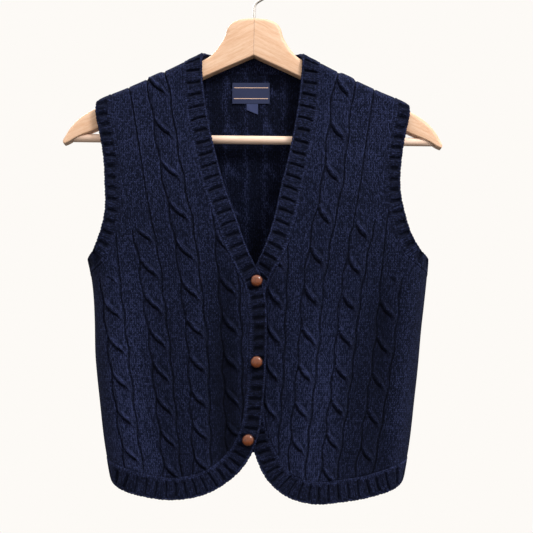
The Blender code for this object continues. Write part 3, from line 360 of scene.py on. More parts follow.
@dataclass(frozen=True)
class PlatedWire:
    """Zinc-plated steel wire, drawn smooth: a soft bright metal with faint streaks."""

    name: str = "plated_wire"
    colour: str = "#cfcac4"

    def make(self) -> bpy.types.Material:
        """Build the material."""
        material, tree, shader = new_material(self.name)
        spot = add_node(tree, "ShaderNodeTexCoord")
        stretched = add_node(tree, "ShaderNodeMapping", {"Scale": (900.0, 900.0, 60.0)},
                             {"Vector": spot.outputs["Object"]})
        drawn = add_node(tree, "ShaderNodeTexNoise", {"Scale": 1.0, "Detail": 2.0},
                         {"Vector": stretched.outputs[0]})
        rough = add_node(tree, "ShaderNodeMapRange", {"To Min": 0.22, "To Max": 0.36},
                         {"Value": drawn.outputs["Fac"]})
        tree.links.new(rough.outputs[0], shader.inputs["Roughness"])
        shader.inputs["Base Color"].default_value = linear(self.colour)
        shader.inputs["Metallic"].default_value = 1.0
        return material


# ------------------------------------------------------------------ smooth tables and paths

def smooth_table(at: np.ndarray | float, table: Table, column: int = 1) -> np.ndarray:
    """A smooth curve through one column of a table, by its first column.

    Each stretch is a cubic whose ends have the table's own mean slopes; past the table's
    ends the value stays flat.

    Args:
        at: where to read it.
        table: rows of numbers in rising order of the first.
        column: the column to read.

    Returns:
        The values.
    """
    rows = np.asarray(table, dtype=float)
    knots, values = rows[:, 0], rows[:, column]
    slopes = np.gradient(values, knots)
    slopes[0] = slopes[-1] = 0.0
    return hermite(np.clip(np.asarray(at, dtype=float), knots[0], knots[-1]), knots, values,
                   slopes)


def hermite(at: np.ndarray, knots: np.ndarray, values: np.ndarray,
            slopes: np.ndarray) -> np.ndarray:
    """Cubic pieces through knots with given slopes.

    Args:
        at: where to read them, inside the knots.
        knots: the places of the values, rising.
        values: the values there.
        slopes: the slopes there.

    Returns:
        The values at those places.
    """
    cell = np.clip(np.searchsorted(knots, at) - 1, 0, len(knots) - 2)
    width = knots[cell + 1] - knots[cell]
    part = (at - knots[cell]) / width
    return (values[cell] * (1 + 2 * part) * (1 - part) ** 2
            + slopes[cell] * width * part * (1 - part) ** 2
            + values[cell + 1] * part ** 2 * (3 - 2 * part)
            - slopes[cell + 1] * width * part ** 2 * (1 - part))


def smooth_step(part: np.ndarray | float) -> np.ndarray:
    """0 below 0, 1 above 1 and a soft ramp between."""
    part = np.clip(part, 0.0, 1.0)
    return part * part * (3 - 2 * part)


def lengths_along(path: np.ndarray) -> np.ndarray:
    """Distance of each point of a path from its start, measured along it."""
    steps = np.linalg.norm(np.diff(path, axis=0), axis=1)
    return np.concatenate([[0.0], np.cumsum(steps)])


def smooth_path(points: np.ndarray, spacing: float = 1.0) -> np.ndarray:
    """A finely divided smooth line through flat points."""
    points = np.asarray(points, dtype=float)
    reach = lengths_along(points)
    fine = np.linspace(0.0, reach[-1], int(reach[-1] / spacing) + 2)
    return np.column_stack([hermite(fine, reach, points[:, k], np.gradient(points[:, k], reach))
                            for k in range(points.shape[1])])


def read_path(path: np.ndarray, parts: np.ndarray) -> np.ndarray:
    """Points at given parts, from 0 to 1, of a path's length."""
    reach = lengths_along(path)
    return np.column_stack([np.interp(parts * reach[-1], reach, path[:, k])
                            for k in range(path.shape[1])])


def unit(vectors: np.ndarray) -> np.ndarray:
    """Vectors brought to length one."""
    return vectors / np.linalg.norm(vectors, axis=-1, keepdims=True)


# ------------------------------------------------------------------ how the vest hangs

@dataclass(frozen=True)
class Hang:
    """The surface that the vest's cloth lies on as it hangs.

    Down the body its section is two flat faces joined by half rounds at the sides, and at
    the shoulder the cloth turns over the hanger on a quarter round.
    """

    shoulder_depth: float = 10.4
    body_depth: float = 28.0
    depth_run: tuple[float, float] = (110.0, 410.0)
    tilt: float = math.radians(0.7)
    plain: float = 1.2
    sink: float = 6.2
    reach: float = 4.0
    sink_run: float = 20.0
    fold_run: float = 120.0
    # drop, half width of the body
    half_widths: Table = (
        (110, 284), (330, 207), (356, 198), (378, 194.5), (424, 189.5),
        (470, 186), (516, 180.5), (562, 174.5), (607, 166), (650, 156),
    )
    # drop, centre line
    centres: Table = (
        (110, -2.4), (240, -2.4), (270, -2.4), (300, 0.0), (334, 1.5), (356, 4.0),
        (470, 3.0), (650, 3.0),
    )
    # distance from the centre, drop of the shoulder seam
    shoulders: Table = (
        (0, 52), (46, 86), (57, 104.5), (63, 109.2), (75, 115.5), (97, 127), (123, 139.5),
        (150, 152), (178, 164.5), (187, 170), (230, 194),
    )
    # face, x at the hem, lean, half width, depth outwards, first drop
    folds: Table = (
        (-1, -128, 0.10, 30, 3.0, 330), (-1, -88, 0.16, 22, -2.2, 380),
        (-1, -20, 0.12, 24, -3.2, 400), (-1, 62, -0.12, 26, 2.6, 360),
        (-1, 108, -0.10, 24, -2.4, 390), (-1, 142, -0.06, 20, 1.8, 430),
        (1, -120, 0.08, 34, 3.2, 300), (1, -58, 0.05, 30, -3.0, 250),
        (1, 12, 0.00, 34, 3.4, 230), (1, 78, -0.05, 30, -2.8, 280),
        (1, 132, -0.07, 24, 2.4, 340),
        (-1, -31, 0.02, 15, -4.2, 300), (-1, 139, -0.03, 14, -4.4, 330),
    )
    # x, drop of the right front's free edge, which lies on top
    right_edge: Table = (
        (-62, 108), (-61.5, 135), (-55.5, 184), (-45, 231), (-33, 275), (-16, 321.5),
        (0, 361), (8, 376), (12, 394), (14, 458), (11, 513), (4.5, 557), (-7, 583),
        (-25.5, 604), (-51, 619), (-88, 626.5), (-127, 621.5), (-150, 614.5),
    )

    def half_depth(self, drop: np.ndarray) -> np.ndarray:
        """Half of the body tube's depth at a drop."""
        start, end = self.depth_run
        part = smooth_step((np.asarray(drop, dtype=float) - start) / (end - start))
        return self.shoulder_depth + (self.body_depth - self.shoulder_depth) * part

    def half_width(self, drop: np.ndarray) -> np.ndarray:
        """Half of the body's width on the base surface at a drop."""
        return smooth_table(drop, self.half_widths) - self.plain

    def centre(self, drop: np.ndarray) -> np.ndarray:
        """The centre line's x at a drop."""
        return smooth_table(drop, self.centres)

    def shoulder_drop(self, x: np.ndarray) -> np.ndarray:
        """Drop of the shoulder's top line, with the hanger's tilt."""
        x = np.asarray(x, dtype=float)
        return (smooth_table(np.abs(x + 2.5), self.shoulders) + x * math.tan(self.tilt)
                + self.plain)

    def seam_run(self, x: np.ndarray) -> np.ndarray:
        """Run of the shoulder seam, where the cloth is level on top of the hanger."""
        return self.shoulder_drop(x) + self.shoulder_depth * (1 - math.pi / 2)

    def side_across(self, run: np.ndarray) -> np.ndarray:
        """Distance of the side seam from the centre line, round the body."""
        return self.half_width(run) + self.half_depth(run) * (math.pi / 2 - 1)

    def unroll(self, x: np.ndarray, drop: np.ndarray) -> np.ndarray:
        """Distance round the body from the centre line of a point seen at x from the front."""
        offset = np.asarray(x, dtype=float) - self.centre(drop)
        radius = self.half_depth(drop)
        flat = self.half_width(drop) - radius
        turned = np.clip((np.abs(offset) - flat) / radius, 0.0, 1.0)
        return np.sign(offset) * np.where(turned > 0, flat + radius * np.arcsin(turned),
                                          np.abs(offset))

    def front_edge_x(self, drop: np.ndarray) -> np.ndarray:
        """The top front's free edge, as x by drop."""
        return smooth_table(drop, [(row[1], row[0]) for row in self.right_edge[:16]])

    def fold_height(self, x: np.ndarray, drop: np.ndarray, face: Face) -> np.ndarray:
        """How far the soft hanging folds stand out, each a bell across its leaning line."""
        height = np.zeros_like(x)
        for side, hem_x, lean, width, depth, first in self.folds:
            if side == face.value:
                line = hem_x - lean * (600 - drop)
                height = height + (depth * np.exp(-((x - line) / width) ** 2)
                                   * smooth_step((drop - first) / self.fold_run))
        return height

    def surface(self, across: np.ndarray, run: np.ndarray, face: Face,
                under: bool = False) -> np.ndarray:
        """Bend flat cloth to its hanging shape.

        Args:
            across: distance round the body from the centre line.
            run: distance down the cloth.
            face: front or back.
            under: whether it is the front that passes behind the other.

        Returns:
            Points, x, y and z in millimetres.
        """
        across = np.asarray(across, dtype=float)
        run = np.asarray(run, dtype=float)
        deep = self.shoulder_depth
        top = self.shoulder_drop(across + self.centre(run))
        over = np.clip((top + deep - run) / deep, 0.0, math.pi / 2)
        drop = np.where(over > 0, top + deep * (1 - np.sin(over)), run)
        radius = self.half_depth(drop)
        flat = self.half_width(drop) - radius
        turn = np.clip((np.abs(across) - flat) / radius, 0.0, math.pi / 2)
        x = self.centre(drop) + np.sign(across) * np.where(
            turn > 0, flat + radius * np.sin(turn), np.abs(across))
        facing = np.cos(turn) * np.cos(over)
        depth = radius * facing + self.fold_height(x, drop, face) * facing ** 2
        if under:
            beside = (x - self.front_edge_x(drop) - self.reach) / self.sink_run
            depth = depth - self.sink * smooth_step(1 - beside)
        return np.stack([x, face.value * depth, -drop], axis=-1)

    def normal(self, across: np.ndarray, run: np.ndarray, face: Face,
               under: bool = False) -> np.ndarray:
        """Outward direction: across the surface's two slopes, kept just off the seams."""
        step = 0.05
        run = np.maximum(run, self.seam_run(across + self.centre(run)) + 1.5 * step)
        across = np.sign(across) * np.minimum(np.abs(across),
                                              self.side_across(run) - 1.5 * step)
        along = (self.surface(across + step, run, face, under)
                 - self.surface(across - step, run, face, under))
        down = (self.surface(across, run + step, face, under)
                - self.surface(across, run - step, face, under))
        return unit(face.value * np.cross(along, down))

    def raised(self, flat: np.ndarray, height: np.ndarray | float, face: Face,
               under: bool = False) -> np.ndarray:
        """Points a height outside the surface.

        Args:
            flat: flat points, across and run in their last axis.
            height: how far outside; inside is negative.
            face: front or back.
            under: whether it is the front that passes behind the other.

        Returns:
            Points in millimetres.
        """
        across, run = flat[..., 0], flat[..., 1]
        height = np.broadcast_to(np.asarray(height, dtype=float), across.shape)
        return (self.surface(across, run, face, under)
                + self.normal(across, run, face, under) * height[..., None])

    def on_shoulder(self, points: np.ndarray) -> np.ndarray:
        """Move flat points along their run onto the shoulder seam."""
        across = points[..., 0]
        return np.stack([across, self.seam_run(across + self.centre(points[..., 1]))], axis=-1)

    def on_side(self, points: np.ndarray) -> np.ndarray:
        """Move flat points across onto their side seam."""
        run = points[..., 1]
        return np.stack([np.copysign(self.side_across(run), points[..., 0]), run], axis=-1)


# ------------------------------------------------------------------ meshes from grids

@dataclass
class Cloth:
    """One knitted piece as arrays: its points, its faces, its flat measures and its shade."""

    points: np.ndarray
    faces: list
    flat: np.ndarray
    shade: np.ndarray


def grid_faces(rows: int, columns: int, shift: int = 0, closed: bool = False,
               turned: bool = False) -> np.ndarray:
    """Four-sided faces of a grid of points numbered row by row.

    Args:
        rows: number of rows.
        columns: number of columns.
        shift: number of its first point.
        closed: whether the last row joins the first.
        turned: whether the faces look the other way.

    Returns:
        An array of four point numbers a face.
    """
    row = np.arange(rows if closed else rows - 1)[:, None] * columns
    after = (row + columns) % (rows * columns)
    column = np.arange(columns - 1)[None, :]
    corners = np.stack([row + column, row + column + 1, after + column + 1, after + column],
                       axis=-1).reshape(-1, 4) + shift
    return corners[:, ::-1] if turned else corners


def tube_faces(rows: int, columns: int, closed: bool = False) -> np.ndarray:
    """Four-sided faces of a tube: each row is a ring, and closed joins the last to the first."""
    row = np.arange(rows if closed else rows - 1)[:, None] * columns
    after = (row + columns) % (rows * columns)
    column = np.arange(columns)[None, :]
    beside = (column + 1) % columns
    return np.stack([row + column, row + beside, after + beside, after + column],
                    axis=-1).reshape(-1, 4)


def ring_of(rows: int, columns: int, step: int = 1) -> np.ndarray:
    """Numbers of a grid's border points, once round, taking every step-th row and column."""
    down = np.arange(0, rows, step)
    along = np.arange(0, columns, step)
    return np.concatenate([along[:-1], down[:-1] * columns + columns - 1,
                           (rows - 1) * columns + along[:0:-1], down[:0:-1] * columns])


def local_mean(field_: np.ndarray, passes: int, closed: bool = False) -> np.ndarray:
    """Each value's mean with its neighbours, over and over, so that it spreads softly.

    Args:
        field_: a grid of values.
        passes: how often it is averaged.
        closed: whether the last row joins the first.

    Returns:
        The averaged grid.
    """
    mean = field_.copy()
    for _ in range(passes):
        if closed:
            ends = np.concatenate([mean[-1:], mean, mean[:1]])
        else:
            ends = np.concatenate([mean[:1], mean, mean[-1:]])
        mean = (ends[:-2] + 2 * ends[1:-1] + ends[2:]) / 4
        sides = np.concatenate([mean[:, :1], mean, mean[:, -1:]], axis=1)
        mean = (sides[:, :-2] + 2 * sides[:, 1:-1] + sides[:, 2:]) / 4
    return mean


def make_mesh(name: str, points: np.ndarray, faces: list,
              material: bpy.types.Material, flat: np.ndarray | None = None,
              shade: np.ndarray | None = None, crease: float = 62.0) -> bpy.types.Object:
    """Put points and faces into a mesh object at the origin, its faces turned outwards.

    Args:
        name: the object's name.
        points: points in millimetres.
        faces: sequences of point numbers.
        material: its finish.
        flat: each point's flat measures in millimetres, for the UV map "cloth".
        shade: each point's openness, for the attribute "shade".
        crease: edges that turn more than this many degrees stay sharp.

    Returns:
        The object, riding on the part's one body.
    """
    mesh = bpy.data.meshes.new(name)
    mesh.from_pydata((np.asarray(points) * MM).tolist(), [], faces)
    mesh.validate()
    mesh.polygons.foreach_set("use_smooth", np.ones(len(mesh.polygons), dtype=bool))
    corners = np.empty(len(mesh.loops), dtype=np.int32)
    mesh.loops.foreach_get("vertex_index", corners)
    if flat is not None:
        layer = mesh.uv_layers.new(name="cloth")
        layer.data.foreach_set("uv", (flat[corners]).astype(np.float32).ravel())
    if shade is not None:
        layer = mesh.attributes.new("shade", 'FLOAT', 'POINT')
        layer.data.foreach_set("value", shade.astype(np.float32))
    if signed_volume(mesh) < 0:
        mesh.flip_normals()
    mesh.set_sharp_from_angle(angle=math.radians(crease))
    mesh.update()
    made = bpy.data.objects.new(name, mesh)
    made.data.materials.append(material)
    bpy.context.scene.collection.objects.link(made)
    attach(made, "root")
    return made


def signed_volume(mesh: bpy.types.Mesh) -> float:
    """A closed mesh's volume, negative when its faces look inwards."""
    mesh.calc_loop_triangles()
    corners = np.empty(len(mesh.loop_triangles) * 3, dtype=np.int32)
    mesh.loop_triangles.foreach_get("vertices", corners)
    places = np.empty(len(mesh.vertices) * 3)
    mesh.vertices.foreach_get("co", places)
    first, second, third = places.reshape(-1, 3)[corners.reshape(-1, 3)].transpose(1, 0, 2)
    return float(np.einsum("ij,ij->i", first, np.cross(second, third)).sum()) / 6


# ------------------------------------------------------------------ cables

@dataclass(frozen=True)
class Cable:
    """One cable's rhythm.

    outwards: which side of the panel's middle it lies on.
    first, spacing, shrink: the drop of its crossing 0, the distance to the next, and how
    fast that distance shrinks downwards.
    start: the drop where it begins.
    """

    outwards: float
    first: float
    spacing: float
    shrink: float
    start: float

    def phase(self, run: np.ndarray) -> np.ndarray:
        """Place along the cable, counted in crossings."""
        if self.shrink == 0:
            return (run - self.first) / self.spacing
        root = np.sqrt(np.maximum(self.spacing ** 2 - 4 * self.shrink * (run - self.first),
                                  1.0))
        return (self.spacing - root) / (2 * self.shrink)


@dataclass(frozen=True)
class CablePattern:
    """The knitting of a panel: plain ground, purl grooves and two-strand cables.

    wales: rows of drop, each cable's x and the width of one repeat.
    """

    wales: Table
    cables: tuple[Cable, ...]
    plain: float = 1.2
    strand: float = 3.2
    half: float = 0.236
    groove: float = 0.262
    groove_half: float = 0.9
    groove_round: float = 2.4
    # a painted highlight beside each groove, a pale lip: distance, half width, tone outside and
    # inside the cable
    lip_highlight: tuple[float, float] = (2.1, 0.9)
    lip_highlight_tones: tuple[float, float] = (0.35, 0.22)
    groove_depth: float = 1.4
    fade: float = 14.0
    # a cable's even pad: how square its section is, how deep it is set, and its dark border,
    # painted shade
    pad_round: float = 5.0
    pad_set: float = 0.4
    knot_round: float = 3.0
    border: tuple[float, float, float] = (0.3, 0.94, 0.06)
    # a crossing, in millimetres of a cable this wide; places across are parts of half of it
    half_width: float = 10.9
    ridge: float = 1.7
    middle: float = 2.0
    # level, rise and bend of the strand's lower edge, then where it turns down and how fast
    lower_edge: tuple[float, float, float] = (14.4, 25.5, 0.80)
    leaves: tuple[float, float] = (0.35, 20.0)
    # the crease: depth, half width, and where it ends and over what width it fades
    crease: float = 1.9
    crease_half: float = 1.25
    crease_ends: tuple[float, float] = (0.60, 0.34)
    # the strand below dives in beside the crease: depth, run, how far past it, fade
    dive: float = 1.3
    dive_run: float = 3.5
    dive_ends: tuple[float, float] = (0.2, 0.6)
    # the dip behind the ridge: depth, half width, where it starts and its fade
    behind: float = 0.5
    behind_half: float = 3.0
    behind_starts: tuple[float, float] = (0.3, 0.4)
    # painted shade in the crease, the dive and the dip, then how much paler the ridge is, a
    # painted highlight
    painted_light_and_shade: tuple[float, float, float, float] = (0.72, 0.26, 0.24, 0.22)
    reach: float = 21.0
    reach_fade: float = 9.0
    # stitches follow the crossing strand sideways by this much, over this drop
    sway: float = 10.8
    sway_drop: float = 28.0
    bend: tuple[float, float] = (1.2, 0.9)
    bend_phase: float = 0.2
    gauge: float = 46.5

    def relief(self, across: np.ndarray, run: np.ndarray, hang: Hang) -> tuple:
        """Height of the knitting, how deep each place lies in a groove, which is painted as
        shade, and the yarn's shift.

        Beside each cable the ground falls into a groove on a bell curve, and the groove
        bends in where a crossing starts and out where it ends.

        Args:
            across: distance round the body.
            run: distance down the cloth.
            hang: the surface, for its centre line.

        Returns:
            Height in millimetres, painted shade of about 0 to 1, deepest in a groove, the
            crease and the pad's border and below zero on a pale lip, where it is painted
            highlight, and sideways shift of the stitches in millimetres.
        """
        height = np.full_like(across, self.plain)
        painted_shade = np.zeros_like(across)
        shift = np.zeros_like(across)
        border, starts, width = self.border
        outside, within = self.lip_highlight_tones
        repeat = smooth_table(run, self.wales, 1 + len(self.cables))
        for place, cable in enumerate(self.cables):
            middle = smooth_table(run, self.wales, 1 + place) - hang.centre(run)
            x = across - middle
            phase = cable.phase(run)
            begun = smooth_step((run - cable.start) / self.fade)
            left = (-self.half * repeat
                    + self.bend[0] * begun * np.cos(2 * math.pi * (phase + self.bend_phase)))
            right = (self.half * repeat
                     + self.bend[1] * begun * np.cos(2 * math.pi * (phase - self.bend_phase)))
            gap = (self.groove - self.half) * repeat
            outer_left = cable.outwards < 0
            bell = np.maximum(
                np.exp(-np.abs((x - left + gap) / self.groove_half) ** self.groove_round)
                * (begun if outer_left else 1.0),
                np.exp(-np.abs((x - right - gap) / self.groove_half) ** self.groove_round)
                * (1.0 if outer_left else begun))
            from_groove = np.minimum(np.abs(x - left + gap), np.abs(x - right - gap))
            lip_highlight = np.exp(-((from_groove - self.lip_highlight[0]) / self.lip_highlight[1]) ** 2)
            inside = (x > left) & (x < right)
            beside = (x > left - 3 * gap) & (x < right + 3 * gap)
            level = self.plain - self.groove_depth * bell
            lateral = 2 * (x - left) / (right - left) - 1
            pad = dome(lateral, self.pad_round) * self.strand - self.pad_set
            knot, low, lean = self.crossing(x, phase, cable, self.half * repeat)
            cabled = self.plain - self.groove_depth + np.maximum(pad + knot * dome(
                lateral, self.knot_round), 0.0)
            height = np.where(inside, level + (cabled - level) * begun,
                              np.where(beside, np.minimum(height, level), height))
            # painted shade: the pad's dark border, the crossing's crease, dive and dip, and the
            # grooves; painted highlight on the ridge and the lips
            edge = border * smooth_step((np.abs(lateral) - starts) / width)
            painted_shade = np.where(inside, (low + edge) * begun + bell * (1 - begun),
                            np.where(beside, np.maximum(painted_shade, bell) - outside * lip_highlight, painted_shade))
            painted_shade = painted_shade - within * lip_highlight * inside * begun
            shift = np.where(inside, lean * begun, shift)
        return height, painted_shade, shift

    def crossing(self, x: np.ndarray, phase: np.ndarray, cable: Cable,
                 half: np.ndarray) -> tuple:
        """What a crossing adds to a cable's even pad.

        One strand comes down the left edge, over the other and on down the right edge, in
        an S between its lower edge and the same edge turned half round: a rounded ridge
        with a sharp crease along its lower left side, where the strand below dives under
        it, and a soft dip along its upper right side.

        Args:
            x: distance from the cable's middle.
            phase: place along the cable; a crossing lies at each whole number.
            cable: the cable, for its spacing.
            half: half the cable's width.

        Returns:
            Height in millimetres, painted light and shade from -1 on the ridge (painted
            highlight) to 1 in the crease (painted shade), and the sideways shift of the
            crossing strand's stitches.
        """
        size = half / self.half_width
        spacing = cable.spacing - 2 * cable.shrink * phase
        down = (phase - np.round(phase)) * spacing / size
        side = np.clip(x / half, -1.2, 1.2)
        lower = self.strand_edge(side)
        upper = 2 * self.middle - self.strand_edge(-side)
        slope = (self.strand_edge(side + 0.02) - lower) / (0.02 * self.half_width)
        off = (lower - down) / np.sqrt(1 + slope ** 2)
        along = (x / size + down - self.middle) / math.sqrt(2)
        window = smooth_step((self.reach - np.abs(along)) / self.reach_fade)
        body = np.clip((lower - down) / (lower - upper), 0.0, 1.0)
        ridge = np.sin(math.pi * body ** 0.85) ** 0.9 * window
        last, fade = self.crease_ends
        crease = (np.exp(-(off / self.crease_half) ** 2) * window
                  * smooth_step((last - side) / fade))
        past, softly = self.dive_ends
        dive = np.exp(-np.abs(off) / self.dive_run) * (off < 0) * window * smooth_step(
            (last + past - side) / softly)
        starts, grows = self.behind_starts
        behind = np.exp(-((upper - down) / self.behind_half) ** 2) * window * smooth_step(
            (side + starts) / grows)
        height = (self.ridge * ridge - self.dive * dive - self.behind * behind
                  - self.crease * crease)
        # painted shade in the crease, the dive and the dip, and painted highlight on the ridge
        of_crease, of_dive, of_behind, of_ridge = self.painted_light_and_shade
        dark = (of_crease * crease + of_dive * dive + of_behind * behind
                - of_ridge * ridge ** 1.5)
        mask = smooth_step(body / 0.1) * smooth_step((1 - body) / 0.25)
        lean = self.sway * smooth_step((down + self.sway_drop / 2) / self.sway_drop) * mask
        return height, dark, lean

    def strand_edge(self, side: np.ndarray) -> np.ndarray:
        """Lower edge of the crossing strand, as drop over the crossing by part of the width.

        It leaves the left groove straight down, bends towards level on an exponential and
        turns down again towards the right groove.
        """
        level, rise, bend = self.lower_edge
        start, fall = self.leaves
        return (level - rise * np.exp(-(side + 1.05) / bend)
                + fall * np.maximum(side - start, 0.0) ** 1.6)


def dome(offset: np.ndarray, power: float = 2.4) -> np.ndarray:
    """A rounded ridge: 1 in the middle, falling steeply to 0 at an offset of 1."""
    return np.sqrt(np.clip(1 - np.abs(np.clip(offset, -1, 1)) ** power, 0.0, 1.0))


# ------------------------------------------------------------------ bands

@dataclass
class BandLine:
    """A ribbed band along a free edge, from one sewn end to the other.

    edge: flat points of the free edge.  width: width by run.  ends: for its start and its
    end, the function that holds flat points on the seam there and a first guess of the
    direction along that seam.  pitches: drop, width of one rib and its valley, half width
    of the valley, the ribs' tone and how dark a valley is, both painted shade.  rolled: how
    much painted highlight its bound edge and its chain get.
    """

    hang: Hang
    edge: np.ndarray
    width: Callable[[np.ndarray], np.ndarray]
    ends: tuple
    pitches: Table
    face: Face
    under: bool = False
    turn: float = 36.0
    rolled: float = 1.0
    spacing: float = 0.62
    ribs: np.ndarray = field(init=False)
    direction: np.ndarray = field(init=False)
    reach: np.ndarray = field(init=False)
    wide: np.ndarray = field(init=False)

    def __post_init__(self) -> None:
        """Divide the edge evenly and point each place along its rib."""
        length = float(lengths_along(self.edge)[-1])
        count = int(length / self.spacing)
        self.edge = read_path(self.edge, np.linspace(0.0, 1.0, count + 1))
        self.reach = np.linspace(0.0, length, count + 1)
        self.wide = self.width(self.edge[:, 1])
        rate = 1 / smooth_table(self.edge[:, 1], self.pitches)
        self.ribs = np.concatenate([[0.0], np.cumsum((rate[1:] + rate[:-1]) / 2)])
        self.ribs *= max(2, round(self.ribs[-1] * length / count)) / self.ribs[-1]
        start, end = (self.along_seam(hold, self.edge[place], guess, self.wide[place])
                      for place, (hold, guess) in zip((0, -1), self.ends))
        tangent = unit(np.gradient(self.edge, axis=0))
        normal = np.column_stack([-tangent[:, 1], tangent[:, 0]])
        if np.dot(normal[0], start) + np.dot(normal[-1], end) < 0:
            normal = -normal
        near_start = smooth_step(1 - self.reach / self.turn)[:, None]
        near_end = smooth_step(1 - (length - self.reach) / self.turn)[:, None]
        self.direction = unit(normal * (1 - near_start) * (1 - near_end)
                              + start * near_start + end * near_end)

    @staticmethod
    def along_seam(hold: Callable[[np.ndarray], np.ndarray], start: np.ndarray,
                   guess: Sequence[float], distance: float) -> np.ndarray:
        """Flat direction from a point on a seam to the seam's point a distance away."""
        direction = np.array(guess, dtype=float)
        for _ in range(5):
            direction = unit(hold(start + distance * direction) - start)
        return direction

    def line(self, distance: np.ndarray | float) -> np.ndarray:
        """Flat points at each point's own distance from the free edge."""
        distance = np.broadcast_to(np.asarray(distance, dtype=float), self.reach.shape)
        points = self.edge + self.direction * distance[:, None]
        for place, (hold, _) in zip((0, -1), self.ends):
            points[place] = hold(points[place])
        return points

    def seam(self, lap: float) -> np.ndarray:
        """The line where the panel ends, a lap under the band's own seam ridge."""
        return self.line(self.wide - lap)


@dataclass(frozen=True)
class RibKnit:
    """The section of a ribbed band.

    The free edge is a rolled bound edge, the seam a flat raised chain, and between them
    ribs stand over sunk valleys, which end short of both.
    """

    wall: float = 2.6
    edge: float = 1.5
    rib: float = 1.75
    valley: float = -0.5
    seam: float = 1.7
    rolled: float = 2.6
    chain: float = 3.8
    scallop: float = 0.35
    bow: float = 0.26
    loop: float = 3.9
    loop_depth: float = 0.5
    # the split between the two columns of a rib: depth, half width and darkness, painted shade
    split: tuple[float, float, float] = (0.28, 0.8, 0.16)
    # the rolled edge and the chain: distance from their own border and half width
    bound_at: tuple[float, float] = (1.4, 1.3)
    chain_at: tuple[float, float] = (1.9, 1.7)
    # how much paler they are, a painted highlight, where a band's rolled is 1
    painted_highlights: tuple[float, float] = (0.18, 0.15)
    inside_tone: float = 0.45
    # part of the width of each outer sample, then of each inner one
    outer: tuple[float, ...] = (0.0, 0.018, 0.05, 0.085, 0.12, 0.155, 0.19, 0.23, 0.28, 0.34,
                                0.41, 0.48, 0.55, 0.62, 0.68, 0.73, 0.77, 0.81, 0.85, 0.89,
                                0.93, 0.965, 0.988, 1.0)
    inner: tuple[float, ...] = (1.0, 0.7, 0.35, 0.0)

    def sections(self, band: BandLine) -> Cloth:
        """Work out a band's rings of points.

        Args:
            band: the band's line.

        Returns:
            Points, flat measures and shade with a ring of samples in each row, and no faces.
        """
        part = np.array(self.outer)[None, :]
        wide = band.wide[:, None]
        from_edge, from_seam = part * wide, (1 - part) * wide
        # ribs bow towards the seam, and no two valleys are quite alike
        along = band.ribs[:, None] - self.bow * part ** 4
        near = np.round(along)
        chance = np.sin(near * 12.9898 + 4.1) * 43758.5453
        chance = chance - np.floor(chance) - 0.5
        pitch = smooth_table(band.edge[:, 1], band.pitches)[:, None]
        distance = np.abs(along - near + 0.07 * chance * np.sin(part * 6 + 9 * chance)) * pitch
        half = smooth_table(band.edge[:, 1], band.pitches, 2)[:, None] * (1 + 0.5 * chance)
        valley = np.exp(-np.abs(distance / half) ** 2.2)
        split_depth, split_half, split_dark = self.split
        split = np.exp(-((pitch / 2 - distance) / split_half) ** 2)
        open_part = (smooth_step((from_edge - self.rolled - 1.6 * chance + 0.6) / 2.4)
                     * smooth_step((from_seam - self.chain - 2.4 * chance + 0.8) / 3.4))
        bound = np.exp(-((from_edge - self.bound_at[0]) / self.bound_at[1]) ** 2)
        chain = np.exp(-((from_seam - self.chain_at[0]) / self.chain_at[1]) ** 2)
        top = self.rib + (self.edge - self.rib) * bound + (self.seam - self.rib) * chain
        height = (top + (self.valley - self.rib) * valley * open_part
                  - split_depth * split * open_part)
        height = height - 1.3 * np.exp(-from_edge / 0.45) - 1.2 * np.exp(-from_seam / 0.5)
        height = height - 0.35 * np.exp(-((from_edge - self.rolled - 0.2) / 0.7) ** 2)
        height = height - 0.35 * np.exp(-((from_seam - self.chain) / 0.8) ** 2)
        at_edge = valley[:, :1]
        loop = self.loop_depth * (0.5 - 0.5 * np.cos(
            2 * math.pi * band.reach / self.loop + np.sin(band.reach / 5.3)))[:, None]
        edge_shift = ((self.scallop * at_edge + loop) * np.exp(-from_edge / 1.8))
        flat_outer = self.spread(band, from_edge + edge_shift)
        inner_part = np.broadcast_to(np.array(self.inner)[None, :],
                                     (len(band.reach), len(self.inner)))
        inner_edge = (self.scallop * at_edge + loop) * (inner_part == 0.0)
        flat_inner = self.spread(band, inner_part * wide + inner_edge)
        outer = band.hang.raised(flat_outer, height, band.face, band.under)
        inner = band.hang.raised(flat_inner, -self.wall, band.face, band.under)
        points = np.concatenate([outer, inner], axis=1)
        # painted light and shade: the ribs' tone by drop, darker in the valleys, the splits and
        # beside the rolled edge, and paler on the rolled edge and the chain
        painted_shade = (valley * (1 + 0.5 * chance) + split_dark * split) * open_part
        tone = smooth_table(band.edge[:, 1], band.pitches, 3)[:, None]
        dark = smooth_table(band.edge[:, 1], band.pitches, 4)[:, None]
        shade = tone - dark * painted_shade + band.rolled * (
            self.painted_highlights[0] * bound + self.painted_highlights[1] * chain)
        shade = shade - 0.14 * np.exp(-((from_edge - self.rolled - 0.2) / 0.8) ** 2)
        shade = np.concatenate([shade, np.full(inner_part.shape, self.inside_tone)], axis=1)
        flat = np.empty(points.shape[:2] + (2,))
        flat[..., 0] = band.reach[:, None]
        flat[..., 1] = np.concatenate([from_edge, inner_part * wide], axis=1)
        return Cloth(points, [], flat * MM, shade)

    @staticmethod
    def spread(band: BandLine, distance: np.ndarray) -> np.ndarray:
        """Flat points of every section, each at its own distance from the free edge."""
        points = band.edge[:, None, :] + band.direction[:, None, :] * distance[..., None]
        for place, (hold, _) in zip((0, -1), band.ends):
            points[place] = hold(points[place])
        return points


# ------------------------------------------------------------------ the vest

